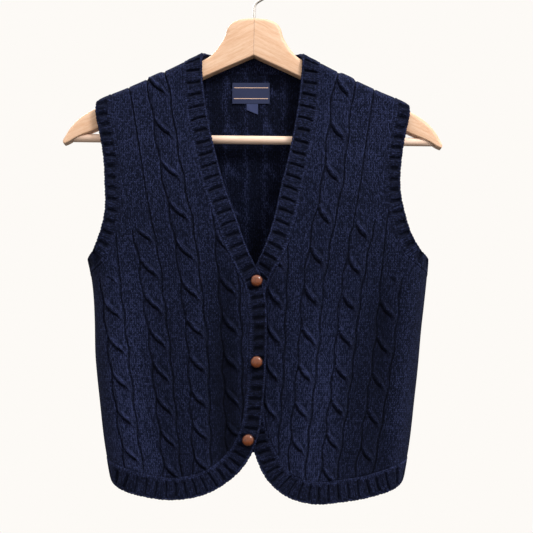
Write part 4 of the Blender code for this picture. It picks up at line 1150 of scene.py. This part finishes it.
RIGHT_WALES: Table = (        # drop, x of each cable from the side inwards, repeat
    (110, -205.0, -166.7, -119.7, -52.0, 46.5), (168, -196.0, -156.5, -110.5, -46.0, 46.0),
    (200, -190.0, -150.8, -105.4, -43.0, 46.0), (236, -184.0, -144.5, -99.4, -40.0, 46.0),
    (278, -178.0, -137.3, -90.9, -36.9, 46.5), (311, -173.3, -130.7, -83.7, -34.6, 46.5),
    (358, -167.1, -120.0, -75.9, -31.2, 45.5), (400, -161.6, -114.6, -70.6, -28.2, 44.5),
    (444, -155.3, -108.1, -65.2, -25.8, 43.5), (500, -147.7, -101.9, -62.1, -24.0, 41.5),
    (545, -141.3, -96.9, -60.0, -22.5, 39.5), (600, -131.5, -90.8, -57.5, -20.8, 37.0),
    (640, -124.7, -86.3, -55.7, -19.5, 35.5),
)
LEFT_WALES: Table = (         # drop, x of each cable to the side outwards, repeat
    (110, 34.8, 111.8, 159.2, 196.0, 46.5), (168, 32.8, 102.2, 149.9, 187.0, 46.0),
    (200, 31.7, 98.2, 144.8, 182.0, 46.0), (236, 30.5, 93.8, 139.2, 176.0, 46.0),
    (278, 29.0, 87.9, 132.5, 170.0, 46.5), (311, 27.9, 80.2, 126.0, 164.3, 46.5),
    (358, 26.2, 71.5, 116.3, 158.4, 45.5), (400, 24.8, 65.4, 108.7, 153.2, 44.5),
    (444, 23.5, 62.4, 103.5, 148.3, 43.0), (500, 21.3, 56.8, 97.2, 140.1, 41.5),
    (545, 18.4, 51.8, 90.5, 132.4, 39.5), (600, 15.2, 47.0, 82.9, 121.9, 37.0),
    (640, 12.9, 44.0, 77.5, 114.6, 35.5),
)
BACK_SLOTS = (-3.5, -2.5, -1.5, -0.5, 0.5, 1.5, 2.5, 3.5)
BACK_WALES: Table = tuple(    # drop, x of each cable, repeat
    (drop, *(slot * width for slot in BACK_SLOTS), width)
    for drop, width in ((110, 46), (250, 46), (356, 45), (444, 43), (500, 41.5), (640, 35.5))
)
RIGHT_CABLES = (
    Cable(-2, 411, 40.5, 0.0, 372), Cable(-1, 364.4, 40.8, 0.48, 318),
    Cable(0, 198.8, 51.5, 0.97, 60), Cable(1, 383.9, 45.3, 1.10, 60),
)
LEFT_CABLES = (
    Cable(-1, 397.6, 43.0, 0.2, 60), Cable(0, 202.4, 52.0, 0.85, 60),
    Cable(1, 362.1, 41.5, 0.4, 308), Cable(2, 411.2, 40.6, 0.0, 372),
)
BACK_CABLES = tuple(
    Cable(slot, 172 + 23 * (int(abs(slot) + 0.5) % 2), 47.5, 0.62,
          {3.5: 378, 2.5: 322}.get(abs(slot), 60))
    for slot in BACK_SLOTS
)


@dataclass
class Vest:
    """The knitted garment: three cabled panels and the bands round every free edge."""

    hang: Hang
    panel_finish: bpy.types.Material
    rib_finish: bpy.types.Material
    wall: float = 2.6
    lap: float = 1.2
    hem_side: float = 603.0
    hem_back: float = 578.0
    underarm: float = 356.0
    armhole_wide: float = 19.0
    # painted shade: darker in a fold's trough and paler on its crest, and darker round the sides
    fold_shade: float = 0.042
    side_shade: float = 0.13
    side_run: float = 34.0
    rib_knit: RibKnit = RibKnit()
    # drop, width of one rib and its valley, half width of the valley, tone of the ribs and
    # darkness of a valley, both painted shade; the ribs are darkest down the placket
    neck_pitches: Table = (
        (100, 14.4, 1.6, 0.42, 0.32), (230, 14.2, 1.7, 0.42, 0.32),
        (340, 13.6, 2.2, 0.41, 0.36), (390, 12.4, 3.0, 0.37, 0.40),
        (500, 11.4, 3.0, 0.36, 0.40), (560, 11.6, 2.5, 0.37, 0.36),
        (600, 11.9, 1.7, 0.41, 0.30), (650, 11.9, 1.6, 0.41, 0.28),
    )
    hem_pitches: Table = ((570, 11.8, 1.7, 0.41, 0.3), (610, 11.8, 1.7, 0.41, 0.3))
    armhole_pitches: Table = ((150, 12.6, 2.6, 0.41, 0.27), (360, 12.6, 2.6, 0.39, 0.27))
    # drop, how much the panels' tone differs there: painted light, palest at the shoulders and
    # darker below
    painted_light_and_shade: Table = ((110, 0.0), (225, 0.0), (300, -0.065), (420, -0.06), (560, -0.04),
                    (640, -0.03))
    # drop, distance of the armhole's edge from the centre
    armhole_edge: Table = (
        (164, 184), (182, 184.5), (206, 179.5), (229, 175), (264, 171.5), (288, 171.5),
        (311, 175), (331, 181), (345, 188),
    )
    # x, drop of the left front's free edge
    left_edge: Table = (
        (56.5, 108), (55.5, 122), (51.5, 165), (44.5, 207), (36.5, 245), (26, 290),
        (13.5, 335), (-0.5, 366), (-8.5, 388), (-11.3, 426), (-11, 514), (-7.5, 551),
        (0.5, 577), (14, 604), (35, 622), (64, 630.5), (98, 629), (134, 622.5), (157, 614.5),
    )
    # across, run of half of the back neck's edge
    back_neck: Table = ((54.5, 104.5), (44, 107.0), (24, 106.0), (0, 105.0))
    # drop, width of the band at the neck, fronts and hem
    band_widths: Table = (
        (100, 24.0), (330, 24.0), (390, 21.5), (540, 21.5), (600, 25.0), (650, 25.0),
    )

    def band_width(self, run: np.ndarray) -> np.ndarray:
        """Width of the neck, front and hem band."""
        return smooth_table(run, self.band_widths)

    def armhole_width(self, run: np.ndarray) -> np.ndarray:
        """Width of an armhole band, the same all round."""
        return np.full(run.shape, self.armhole_wide)

    def front_path(self, rows: Table, hand: int) -> np.ndarray:
        """A front's free edge from its shoulder seam to its side seam."""
        x, drop = np.array(rows, dtype=float).T
        points = np.column_stack([self.hang.unroll(x, drop), drop])
        points[0, 1] = self.hang.seam_run(x[0])
        end = np.array([[hand * self.hang.side_across(self.hem_side), self.hem_side]])
        return smooth_path(np.vstack([points, end]))

    def armhole_path(self, hand: int) -> np.ndarray:
        """An armhole's free edge from the shoulder seam to the underarm."""
        drop, reach = np.array(self.armhole_edge, dtype=float).T
        centre = self.hang.centre(drop)
        across = np.abs(self.hang.unroll(centre + reach, drop))
        across[0] = reach[0]
        drop[0] = self.hang.seam_run(hand * reach[0] + centre[0])
        under = [[self.hang.side_across(self.underarm), self.underarm]]
        path = smooth_path(np.vstack([np.column_stack([across, drop]), under]))
        return path * np.array([hand, 1.0])

    def neck_path(self) -> np.ndarray:
        """The back's neck edge from shoulder seam to shoulder seam."""
        half = np.array(self.back_neck, dtype=float)
        right, left = self.hang.right_edge[0][0], self.left_edge[0][0]
        centre = float(self.hang.centre(half[0, 1]))
        start = [[right - centre, self.hang.seam_run(right)]]
        end = [[left - centre, self.hang.seam_run(left)]]
        return smooth_path(np.vstack([start, half * (-1, 1), half[-2::-1], end]))

    def hem_path(self) -> np.ndarray:
        """The back's hem from side to side: a parabola, lower at the side seams."""
        reach = self.hang.side_across(self.hem_side)
        across = np.linspace(-reach, reach, 60)
        drop = self.hem_back + (self.hem_side - self.hem_back) * (across / reach) ** 2
        return np.column_stack([across, drop])

    def band_lines(self) -> dict:
        """The line of every band, by name."""
        hang = self.hang
        up, down, rightwards, leftwards = (0, -1), (0, 1), (-1, 0), (1, 0)
        lines = {}
        for name, rows, hand, away in (
                ("right_front_band", hang.right_edge, -1, rightwards),
                ("left_front_band", self.left_edge, 1, leftwards)):
            lines[name] = BandLine(hang, self.front_path(rows, hand), self.band_width,
                                   ((hang.on_shoulder, away), (hang.on_side, up)),
                                   self.neck_pitches, Face.FRONT, under=hand > 0)
        for name, hand, inward in (("right_armhole_band", -1, leftwards),
                                   ("left_armhole_band", 1, rightwards)):
            for face in Face:
                lines[name, face] = BandLine(
                    hang, self.armhole_path(hand), self.armhole_width,
                    ((hang.on_shoulder, inward), (hang.on_side, down)),
                    self.armhole_pitches, face, rolled=0.25)
        lines["back_neck_band"] = BandLine(
            hang, self.neck_path(), self.band_width,
            ((hang.on_shoulder, rightwards), (hang.on_shoulder, leftwards)),
            self.neck_pitches, Face.BACK, turn=24.0)
        lines["back_hem_band"] = BandLine(
            hang, self.hem_path(), self.band_width, ((hang.on_side, up), (hang.on_side, up)),
            self.hem_pitches, Face.BACK)
        return lines

    def patch(self, top: np.ndarray, bottom: np.ndarray, left: np.ndarray,
              right: np.ndarray, rows: int, columns: int) -> tuple[np.ndarray, np.ndarray]:
        """A grid of flat points between four border lines.

        Each point is the blend of its places on the two pairs of borders, less the blend of
        the four corners.

        Args:
            top: the upper border from its left end.
            bottom: the lower border from its left end.
            left: the left border from its top.
            right: the right border from its top.
            rows: number of rows.
            columns: number of columns.

        Returns:
            The flat points, and each one's distance from the nearest border.
        """
        down = np.linspace(0.0, 1.0, rows)
        aside = np.linspace(0.0, 1.0, columns)
        upper, lower = read_path(top, aside)[None], read_path(bottom, aside)[None]
        first, last = read_path(left, down)[:, None], read_path(right, down)[:, None]
        t, s = down[:, None, None], aside[None, :, None]
        corners = ((1 - s) * (1 - t) * upper[:, :1] + s * (1 - t) * upper[:, -1:]
                   + (1 - s) * t * lower[:, :1] + s * t * lower[:, -1:])
        flat = (1 - t) * upper + t * lower + (1 - s) * first + s * last - corners
        across = np.linalg.norm(flat[:, -1] - flat[:, 0], axis=-1)[:, None]
        along = np.linalg.norm(flat[-1] - flat[0], axis=-1)[None, :]
        s, t = s[..., 0], t[..., 0]
        margin = np.minimum(np.minimum(s, 1 - s) * across, np.minimum(t, 1 - t) * along)
        return flat, margin

    def panel(self, name: str, flat: np.ndarray, margin: np.ndarray, pattern: CablePattern,
              face: Face, under: bool, reduce: int) -> bpy.types.Object:
        """A knitted wall over a grid: relief outside, a plainer reverse inside.

        Args:
            name: the node that it stands for.
            flat: its grid of flat points.
            margin: each point's distance from the border.
            pattern: its knitting.
            face: front or back.
            under: whether it passes behind the other front.
            reduce: every how many rows and columns the inside keeps.

        Returns:
            The object.
        """
        rows, columns = flat.shape[:2]
        height, painted_shade, shift = pattern.relief(flat[..., 0], flat[..., 1], self.hang)
        edge = smooth_step(margin / 4.0)
        height = 0.55 + (height - 0.55) * edge
        outer = self.hang.raised(flat, height, face, under)
        few = flat[::reduce, ::reduce]
        reverse = self.wall + 0.5 * (pattern.plain - height[::reduce, ::reduce]) * (
            edge[::reduce, ::reduce])
        inner = self.hang.raised(few, -np.maximum(reverse, 1.2), face, under)
        bulge = self.hang.fold_height(flat[..., 0] + self.hang.centre(flat[..., 1]),
                                      flat[..., 1], face)
        to_side = self.hang.side_across(flat[..., 1]) - np.abs(flat[..., 0])
        # painted light and shade: darker in grooves, creases and below the local mean height, in
        # the folds' troughs, lower down and round the sides; paler on ridges, fold crests and
        # the shoulders
        shade = (0.48 + 0.05 * (height - local_mean(height, 22)) - 0.32 * painted_shade
                 + self.fold_shade * bulge + smooth_table(flat[..., 1], self.painted_light_and_shade)
                 - self.side_shade * smooth_step(1 - to_side / self.side_run))
        few_rows, few_columns = few.shape[:2]
        outside = grid_faces(rows, columns)
        inside = grid_faces(few_rows, few_columns, rows * columns, turned=True)
        rim = ring_of(rows, columns)
        few_rim = ring_of(few_rows, few_columns) + rows * columns
        strip = np.stack([few_rim, *(np.roll(rim, -k)[::reduce] for k in range(reduce + 1)),
                          np.roll(few_rim, -1)], axis=-1)
        faces = outside.tolist() + inside.tolist() + strip.tolist()
        points = np.concatenate([outer.reshape(-1, 3), inner.reshape(-1, 3)])
        yarn = flat.copy()
        yarn[..., 0] *= pattern.gauge / smooth_table(flat[..., 1], pattern.wales,
                                                     1 + len(pattern.cables))
        yarn_inside = yarn[::reduce, ::reduce].reshape(-1, 2)
        yarn[..., 0] -= shift
        measures = np.concatenate([yarn.reshape(-1, 2), yarn_inside]) * MM
        # the inside is painted in shade, paler where the grooves stand out as ridges on the
        # reverse
        reverse_shade = 0.24 + 0.95 * local_mean(np.maximum(painted_shade, 0.0), 5)[::reduce, ::reduce]
        shades = np.concatenate([shade.ravel(), reverse_shade.ravel()])
        made = make_mesh(name + "_knit", points, faces, self.panel_finish,
                         measures, shades)
        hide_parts(name)
        LOG.info("%s: %d points", made.name, len(points))
        return made

    def band(self, name: str, pieces: Sequence[BandLine]) -> bpy.types.Object:
        """A ribbed band, open at its ends or, from a front and a back half, a closed ring.

        Args:
            name: the node that it stands for.
            pieces: its one line, or its front and back lines.

        Returns:
            The object.
        """
        closed = len(pieces) == 2
        parts = [self.rib_knit.sections(line) for line in pieces]
        if closed:
            front, back = parts
            points, flat, shade = (
                np.concatenate([getattr(front, key), getattr(back, key)[-2:0:-1]])
                for key in ("points", "flat", "shade"))
        else:
            points, flat, shade = parts[0].points, parts[0].flat, parts[0].shade
        rings, samples = points.shape[:2]
        faces = tube_faces(rings, samples, closed).tolist()
        if not closed:
            faces.append(list(range(samples - 1, -1, -1)))
            faces.append(list(range((rings - 1) * samples, rings * samples)))
        made = make_mesh(name + "_knit", points.reshape(-1, 3), faces,
                         self.rib_finish, flat.reshape(-1, 2), shade.ravel())
        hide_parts(name)
        LOG.info("%s: %d points", made.name, rings * samples)
        return made

    def build(self) -> dict[str, bpy.types.Object]:
        """Build the panels and bands."""
        lines = self.band_lines()
        made = {}
        for name, hand, wales, cables in (("right", -1, RIGHT_WALES, RIGHT_CABLES),
                                          ("left", 1, LEFT_WALES, LEFT_CABLES)):
            arm = lines[f"{name}_armhole_band", Face.FRONT].seam(self.lap)
            edge = lines[f"{name}_front_band"].seam(self.lap)
            corner = int(np.argmax(edge[:, 1] - 1.2 * hand * edge[:, 0]
                                   - 3.0 * np.maximum(edge[:, 1] - 592, 0)))
            side = self.side_line(hand, arm[-1, 1], edge[-1, 1])
            top = self.shoulder_line(arm[0], edge[0])
            flat, margin = self.patch(top, edge[:corner - 1:-1],
                                      np.vstack([arm, side[1:]]), edge[:corner + 1],
                                      self.count(470, 1.25, 3), self.count(190, 1.25, 3))
            made[name] = self.panel(f"{name}_front", flat, margin,
                                    CablePattern(wales, cables), Face.FRONT, hand > 0, 3)
        flat, margin = self.back_grid(lines)
        made["back"] = self.panel("back", flat, margin, CablePattern(BACK_WALES, BACK_CABLES),
                                  Face.BACK, False, 2)
        for name in ("right_front_band", "left_front_band", "back_neck_band",
                     "back_hem_band"):
            made[name] = self.band(name, [lines[name]])
        for name in ("right_armhole_band", "left_armhole_band"):
            made[name] = self.band(name, [lines[name, Face.FRONT], lines[name, Face.BACK]])
        return made

    @staticmethod
    def count(length: float, spacing: float, reduce: int) -> int:
        """Number of samples over a length, so that every reduce-th one ends on the last."""
        return int(length / spacing / reduce) * reduce + 1

    def side_line(self, hand: int, top: float, bottom: float) -> np.ndarray:
        """Flat points down a side seam."""
        run = np.linspace(top, bottom, 90)
        return np.column_stack([hand * self.hang.side_across(run), run])

    def shoulder_line(self, start: np.ndarray, end: np.ndarray) -> np.ndarray:
        """Flat points along a shoulder seam between two bands."""
        across = np.linspace(start[0], end[0], 60)
        return self.hang.on_shoulder(np.column_stack([across, np.full(60, start[1])]))

    def back_grid(self, lines: dict) -> tuple[np.ndarray, np.ndarray]:
        """The back panel's grid, between the neck, the armholes, the sides and the hem."""
        neck = lines["back_neck_band"].seam(self.lap)
        hem = lines["back_hem_band"].seam(self.lap)
        right = lines["right_armhole_band", Face.BACK].seam(self.lap)
        left = lines["left_armhole_band", Face.BACK].seam(self.lap)
        top = np.vstack([self.shoulder_line(right[0], neck[0])[:-1], neck,
                         self.shoulder_line(neck[-1], left[0])[1:]])
        borders = [np.vstack([arm, self.side_line(hand, arm[-1, 1], hem[end, 1])[1:]])
                   for arm, hand, end in ((right, -1, 0), (left, 1, -1))]
        return self.patch(top, hem, borders[0], borders[1], self.count(445, 1.6, 2),
                          self.count(375, 1.6, 2))


# ------------------------------------------------------------------ label, buttons, hanger

@dataclass
class NeckLabel:
    """A woven label with a size tab under it, stitched flat inside the back's neck."""

    hang: Hang
    inside: float = 3.1
    thick: float = 0.6
    rows: int = 24
    columns: int = 40

    def strip(self, name: str, node: str, corners: tuple, cut: float,
              finish: bpy.types.Material) -> bpy.types.Object:
        """A thin strip on the inside of the back.

        Args:
            name: the object's name.
            node: the node that it stands for.
            corners: left and right x, then top and bottom drop.
            cut: how much shorter its right-hand side is.
            finish: its material.

        Returns:
            The object.
        """
        left, right, top, bottom = corners
        s = np.linspace(0, 1, self.columns)[None, :]
        t = np.linspace(0, 1, self.rows)[:, None]
        x = left + (right - left) * s + 0 * t
        drop = top + (bottom - cut * (1 - s) - top) * t
        flat = np.stack([x - self.hang.centre(drop), drop], axis=-1)
        frayed = 0.10 * np.sin(2 * np.pi * t * self.rows / 5) * (np.abs(s - 0.5) > 0.49)
        flat[..., 0] += frayed
        wave = 0.18 * np.sin(2.2 * np.pi * s) * np.sin(np.pi * t)
        shells = [self.hang.raised(flat, -(self.inside + wave + k * self.thick), Face.BACK)
                  for k in (0, 1)]
        count = self.rows * self.columns
        rim = ring_of(self.rows, self.columns)
        strip = np.stack([rim, np.roll(rim, -1), np.roll(rim, -1) + count, rim + count],
                         axis=-1)
        faces = (grid_faces(self.rows, self.columns).tolist()
                 + grid_faces(self.rows, self.columns, count, turned=True).tolist()
                 + strip.tolist())
        measures = np.stack([s + 0 * t, 1 - t + 0 * s], axis=-1).reshape(-1, 2)
        made = make_mesh(name, np.concatenate([shell.reshape(-1, 3) for shell in shells]),
                         faces, finish, np.vstack([measures, measures]))
        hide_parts(node)
        return made

    def build(self) -> list[bpy.types.Object]:
        """Build the label and its tab."""
        label = self.strip("neck_label_ribbon", "neck_label", (-27.0, 17.5, 140.5, 165.5), 0.0,
                           WovenRibbon("damask_ribbon", rules=(0.24, 0.76)).make())
        tab = self.strip("size_tab_ribbon", "size_tab", (-10.0, 3.6, 165.9, 178.5), 5.5,
                         WovenRibbon("damask_tab", ground="#343c60").make())
        return [label, tab]


@dataclass
class Buttons:
    """Domed buttons covered in leather, sewn down the right front's band."""

    hang: Hang
    finish: bpy.types.Material
    diameter: float = 13.8
    height: float = 6.4
    seat: float = 2.0
    # where the painted shade round the rim begins, as part of the radius
    rim: float = 0.80
    # name, x, drop
    places: tuple = (("button_top", 2.6, 381.6), ("button_middle", 2.8, 473.2),
                     ("button_low", -6.0, 560.0))
    # part of the radius, part of the height
    profile: Table = ((0.0, 0.0), (0.80, 0.0), (0.95, 0.10), (1.0, 0.26), (0.985, 0.42),
                      (0.93, 0.60), (0.82, 0.75), (0.64, 0.88), (0.42, 0.955), (0.2, 0.99),
                      (0.0, 1.0))

    def build(self) -> list[bpy.types.Object]:
        """Build the buttons: a profile turned round the cloth's outward direction."""
        made = []
        profile = smooth_path(np.array(self.profile) * (self.diameter / 2, self.height), 0.45)
        profile[[0, -1], 0] = 0.0
        turns = np.arange(40) * 2 * math.pi / 40
        for name, x, drop in self.places:
            flat = np.array([float(self.hang.unroll(x, drop)), drop])
            seat = self.hang.raised(flat, self.seat, Face.FRONT)
            normal = self.hang.normal(flat[0], flat[1], Face.FRONT)
            upright = unit(np.array([0.0, 0.0, 1.0]) - normal * normal[2])
            beside = np.cross(upright, normal)
            spokes = (beside[None] * np.cos(turns)[:, None]
                      + upright[None] * np.sin(turns)[:, None])
            rings = (seat + profile[1:-1, 0][:, None, None] * spokes[None]
                     + profile[1:-1, 1][:, None, None] * normal)
            points = np.concatenate([rings.reshape(-1, 3), [seat],
                                     [seat + normal * self.height]])
            count, last = len(turns), (len(rings) - 1) * len(turns)
            around = np.arange(count)
            beyond = (around + 1) % count
            low = np.stack([np.full(count, len(points) - 2), beyond, around], axis=-1)
            cap = np.stack([np.full(count, len(points) - 1), last + around, last + beyond],
                           axis=-1)
            faces = (tube_faces(len(rings), count).tolist() + low.tolist() + cap.tolist())
            # painted shade round the button's rim
            rim = smooth_step((profile[1:-1, 0] / (self.diameter / 2) - self.rim) / 0.16)
            shade = np.concatenate([np.repeat(rim, count), [1.0, 0.0]])
            button = make_mesh(name + "_leather", points, faces,
                               self.finish, shade=shade)
            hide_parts(name)
            made.append(button)
        return made


@dataclass
class Hanger:
    """A wooden hanger: two mitred arms, a trouser bar and a wire hook, tilted as one."""

    tilt: float = math.radians(0.7)
    thickness: float = 14.0
    bar_radius: float = 5.0
    bar_drop: float = 212.0
    bar_half: float = 213.0
    wire_radius: float = 1.75
    hook_radius: float = 20.0
    hook_tip: float = math.radians(205)
    hook_leaves: float = math.radians(-50)
    stem_top: float = 52.0
    stem_end: float = 84.0
    # distance from the middle, drop, rounding, from the top round
    outline: Table = (
        (0.15, 64.5, 5.0), (10, 65.2, 5.0), (19.5, 67.0, 5.0), (27, 70.8, 5.0),
        (31.5, 76.5, 5.0), (34.3, 86, 5.0), (41, 98.5, 5.0), (50, 110, 5.0),
        (64, 119.2, 5.0), (97, 134.8, 5.0), (123, 147.0, 5.0), (150, 159.5, 5.0),
        (178, 172.2, 5.0), (189.5, 178.6, 5.0), (199, 184.5, 5.0), (207.5, 191.5, 5.0),
        (215, 200.5, 5.0), (220.5, 210.5, 4.0), (223, 217.5, 2.6), (221.5, 220.4, 1.6),
        (218.5, 219.4, 1.6), (208.5, 213.4, 1.6), (184, 202.6, 1.6), (121, 170.2, 1.6),
        (58, 137.7, 1.6), (0.15, 111.0, 1.6),
    )

    def tilted(self, points: np.ndarray) -> np.ndarray:
        """Turn points about the Y axis by the hanger's tilt."""
        x, y, z = points[..., 0], points[..., 1], points[..., 2]
        cos, sin = math.cos(self.tilt), math.sin(self.tilt)
        return np.stack([x * cos + z * sin, y, -x * sin + z * cos], axis=-1)

    def arm(self, hand: int, finish: bpy.types.Material) -> bpy.types.Object:
        """One arm: its outline as a board whose edges are quarter rounds.

        Each outline point is drawn inwards towards the board's faces by its own rounding.

        Args:
            hand: -1 for the wearer's right, 1 for the left.
            finish: its material.

        Returns:
            The object.
        """
        rows = smooth_path(np.array(self.outline), 1.6)
        line, rounding = rows[:, :2], rows[:, 2]
        tangent = unit(np.gradient(line, axis=0))
        inward = np.column_stack([-tangent[:, 1], tangent[:, 0]])
        inward[0], inward[-1] = (0.0, 1.0), (0.0, -1.0)
        half = self.thickness / 2
        turns = np.linspace(0.0, math.pi / 2, 8)
        layers = []
        for side in (-1, 1):
            for turn in (turns[::-1] if side < 0 else turns):
                inset = line + inward * (rounding * (1 - math.cos(turn)))[:, None]
                y = side * (half - rounding * (1 - math.sin(turn)))
                layers.append(np.column_stack([hand * inset[:, 0], y, -inset[:, 1]]))
        points = np.stack(layers)
        count, depth = len(line), len(layers)
        faces = tube_faces(depth, count).tolist()
        faces += [list(range(count - 1, -1, -1)),
                  list(range((depth - 1) * count, depth * count))]
        name = "hanger_arm_right" if hand < 0 else "hanger_arm_left"
        made = make_mesh(name + "_wood", self.tilted(points).reshape(-1, 3), faces,
                         finish, crease=35.0)
        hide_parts(name)
        return made

    def tube(self, name: str, node: str, path: np.ndarray, radius: np.ndarray,
             finish: bpy.types.Material, sides: int = 32) -> bpy.types.Object:
        """A round rod along a path in the X-Z plane.

        Each ring is the circle square to the path there, of that place's radius.

        Args:
            name: the object's name.
            node: the node that it stands for.
            path: x and z of its middle.
            radius: its radius at each point.
            finish: its material.
            sides: points round it.

        Returns:
            The object.
        """
        tangent = unit(np.gradient(path, axis=0))
        turns = np.arange(sides) * 2 * math.pi / sides
        spokes = np.stack([-tangent[:, 1, None] * np.cos(turns),
                           np.sin(turns) + 0 * tangent[:, 1, None],
                           tangent[:, 0, None] * np.cos(turns)], axis=-1)
        middle = np.stack([path[:, 0], 0 * path[:, 0], path[:, 1]], axis=-1)
        rings = middle[:, None] + radius[:, None, None] * spokes
        count = len(path)
        faces = tube_faces(count, sides).tolist()
        faces += [list(range(sides - 1, -1, -1)),
                  list(range((count - 1) * sides, count * sides))]
        made = make_mesh(name, self.tilted(rings).reshape(-1, 3), faces, finish)
        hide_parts(node)
        return made

    def hook_path(self) -> np.ndarray:
        """The wire's middle line: an arc, a cubic turn under it and the straight stem."""
        reach = self.hook_radius + self.wire_radius
        angles = np.linspace(self.hook_tip, self.hook_leaves, 72)
        bend = np.column_stack([reach * np.cos(angles),
                                -self.hook_radius + reach * np.sin(angles)])
        leaving = np.array([math.sin(self.hook_leaves), -math.cos(self.hook_leaves)])
        start, end = bend[-1], np.array([0.0, -self.stem_top])
        first, second = start + leaving * 10.0, end + np.array([0.0, 9.0])
        part = np.linspace(0.0, 1.0, 20)[1:, None]
        turn = ((1 - part) ** 3 * start + 3 * (1 - part) ** 2 * part * first
                + 3 * (1 - part) * part ** 2 * second + part ** 3 * end)
        return np.vstack([bend, turn, [[0.0, -self.stem_end]]])

    def build(self) -> list[bpy.types.Object]:
        """Build the arms, the bar and the hook."""
        slope = math.atan(0.50)
        made = [self.arm(-1, BeechWood("lacquered_beech_right", slope).make()),
                self.arm(1, BeechWood("lacquered_beech_left", -slope).make())]
        ends = np.array([-self.bar_half, -self.bar_half + 0.8, self.bar_half - 0.8,
                         self.bar_half])
        path = np.column_stack([ends, np.full(4, -self.bar_drop)])
        radius = np.array([self.bar_radius - 0.8, self.bar_radius, self.bar_radius,
                           self.bar_radius - 0.8])
        made.append(self.tube("hanger_bar_wood", "hanger_bar", path, radius,
                              BeechWood("lacquered_beech_bar", 0.0, light="#f0d3bf",
                                        dark="#e3bea4").make(), 48))
        wire = self.hook_path()
        wire_radius = np.full(len(wire), self.wire_radius)
        wire_radius[0] *= 0.6
        made.append(self.tube("hanger_hook_wire", "hanger_hook", wire, wire_radius,
                              PlatedWire().make(), 24))
        return made


# ------------------------------------------------------------------ studio

@dataclass
class Studio:
    """A pale floor, soft light all round and above, and a camera at the front."""

    pale: str = "#fdfaf6"
    aim: tuple[float, float, float] = (13.75, 0.0, -362.0)
    distance: float = 1200.0
    pitch: float = math.radians(6.0)
    frame_width: float = 621.0
    floor_drop: float = 700.0
    floor_half: float = 30000.0
    overhead: float = 2.4

    def camera(self) -> None:
        """Set the camera below the middle, looking slightly up, with no shift."""
        data = bpy.data.cameras.new("front_camera")
        data.sensor_width = 36.0
        data.lens = 36.0 * self.distance / self.frame_width
        data.clip_end = 50.0
        made = bpy.data.objects.new("front_camera", data)
        away = Vector((0.0, math.cos(self.pitch), math.sin(self.pitch))) * self.distance
        made.location = (Vector(self.aim) - away) * MM
        made.rotation_euler = (math.pi / 2 + self.pitch, 0.0, 0.0)
        bpy.context.scene.collection.objects.link(made)
        bpy.context.scene.camera = made

    def surroundings(self) -> None:
        """Light the world: pale at the horizon, brighter overhead and dim from below."""
        world = bpy.data.worlds.new("studio")
        world.use_nodes = True
        tree = world.node_tree
        spot = add_node(tree, "ShaderNodeTexCoord")
        place = add_node(tree, "ShaderNodeSeparateXYZ", links={0: spot.outputs["Generated"]})
        ramp = add_node(tree, "ShaderNodeValToRGB", links={0: add_node(
            tree, "ShaderNodeMapRange", {"From Min": -1.0, "From Max": 1.0},
            {"Value": place.outputs["Z"]}).outputs[0]})
        stops = ramp.color_ramp.elements
        stops[0].position, stops[0].color = 0.36, (0.16, 0.155, 0.15, 1.0)
        stops[1].position, stops[1].color = 0.41, linear(self.pale)
        overhead = add_node(tree, "ShaderNodeMapRange",
                            {"From Min": 0.38, "From Max": 1.0, "To Min": 1.0,
                             "To Max": self.overhead}, {"Value": place.outputs["Z"]})
        light = tree.nodes["Background"]
        tree.links.new(ramp.outputs[0], light.inputs["Color"])
        tree.links.new(overhead.outputs[0], light.inputs["Strength"])
        bpy.context.scene.world = world
        bpy.context.scene.view_settings.view_transform = "Standard"

    def floor(self) -> None:
        """A wide pale floor that only the camera sees, under the hanging part."""
        half = self.floor_half
        corners = np.array([(-half, -half), (half, -half), (half, half), (-half, half)])
        points = np.column_stack([corners, np.full(4, -self.floor_drop)]) * MM
        mesh = bpy.data.meshes.new("floor")
        mesh.from_pydata(points.tolist(), [], [(0, 1, 2, 3)])
        floor = bpy.data.objects.new("floor", mesh)
        material, _, shader = new_material("pale_floor")
        shader.inputs["Base Color"].default_value = (0.0, 0.0, 0.0, 1.0)
        shader.inputs["Specular IOR Level"].default_value = 0.0
        shader.inputs["Emission Color"].default_value = linear(self.pale)
        shader.inputs["Emission Strength"].default_value = 1.0
        floor.data.materials.append(material)
        floor.visible_diffuse = floor.visible_glossy = floor.visible_shadow = False
        bpy.context.scene.collection.objects.link(floor)

    def lamp(self, name: str, place: tuple, size: float, power: float) -> None:
        """A square soft light that faces the part.

        Args:
            name: its name.
            place: where it stands, in metres.
            size: its side, in metres.
            power: its power, in watts.
        """
        data = bpy.data.lights.new(name, 'AREA')
        data.size = size
        data.energy = power
        made = bpy.data.objects.new(name, data)
        made.location = place
        facing = Vector((0.0, 0.0, -0.35)) - Vector(place)
        made.rotation_euler = facing.to_track_quat('-Z', 'Y').to_euler()
        bpy.context.scene.collection.objects.link(made)

    def build(self) -> None:
        """Set up the camera, the floor and the lights."""
        self.camera()
        self.surroundings()
        self.floor()
        self.lamp("key_light", (1.3, -1.4, 1.4), 0.7, 55.0)
        self.lamp("back_light", (-0.9, 1.8, 1.2), 1.0, 40.0)


# ------------------------------------------------------------------ main


def main() -> None:
    """Build every sub-assembly in order."""
    logging.basicConfig(level=logging.INFO, format="%(name)s %(message)s")
    Studio().build()
    hang = Hang()
    vest = Vest(hang, WoolKnit("navy_cable_knit").make(), WoolKnit("navy_rib_knit").make())
    knitted = vest.build()
    label = NeckLabel(hang).build()
    buttons = Buttons(hang, PolishedLeather().make()).build()
    hanger = Hanger().build()
    LOG.info("pieces: %d", len(knitted) + len(label) + len(buttons) + len(hanger))


if __name__ == "__main__":
    main()
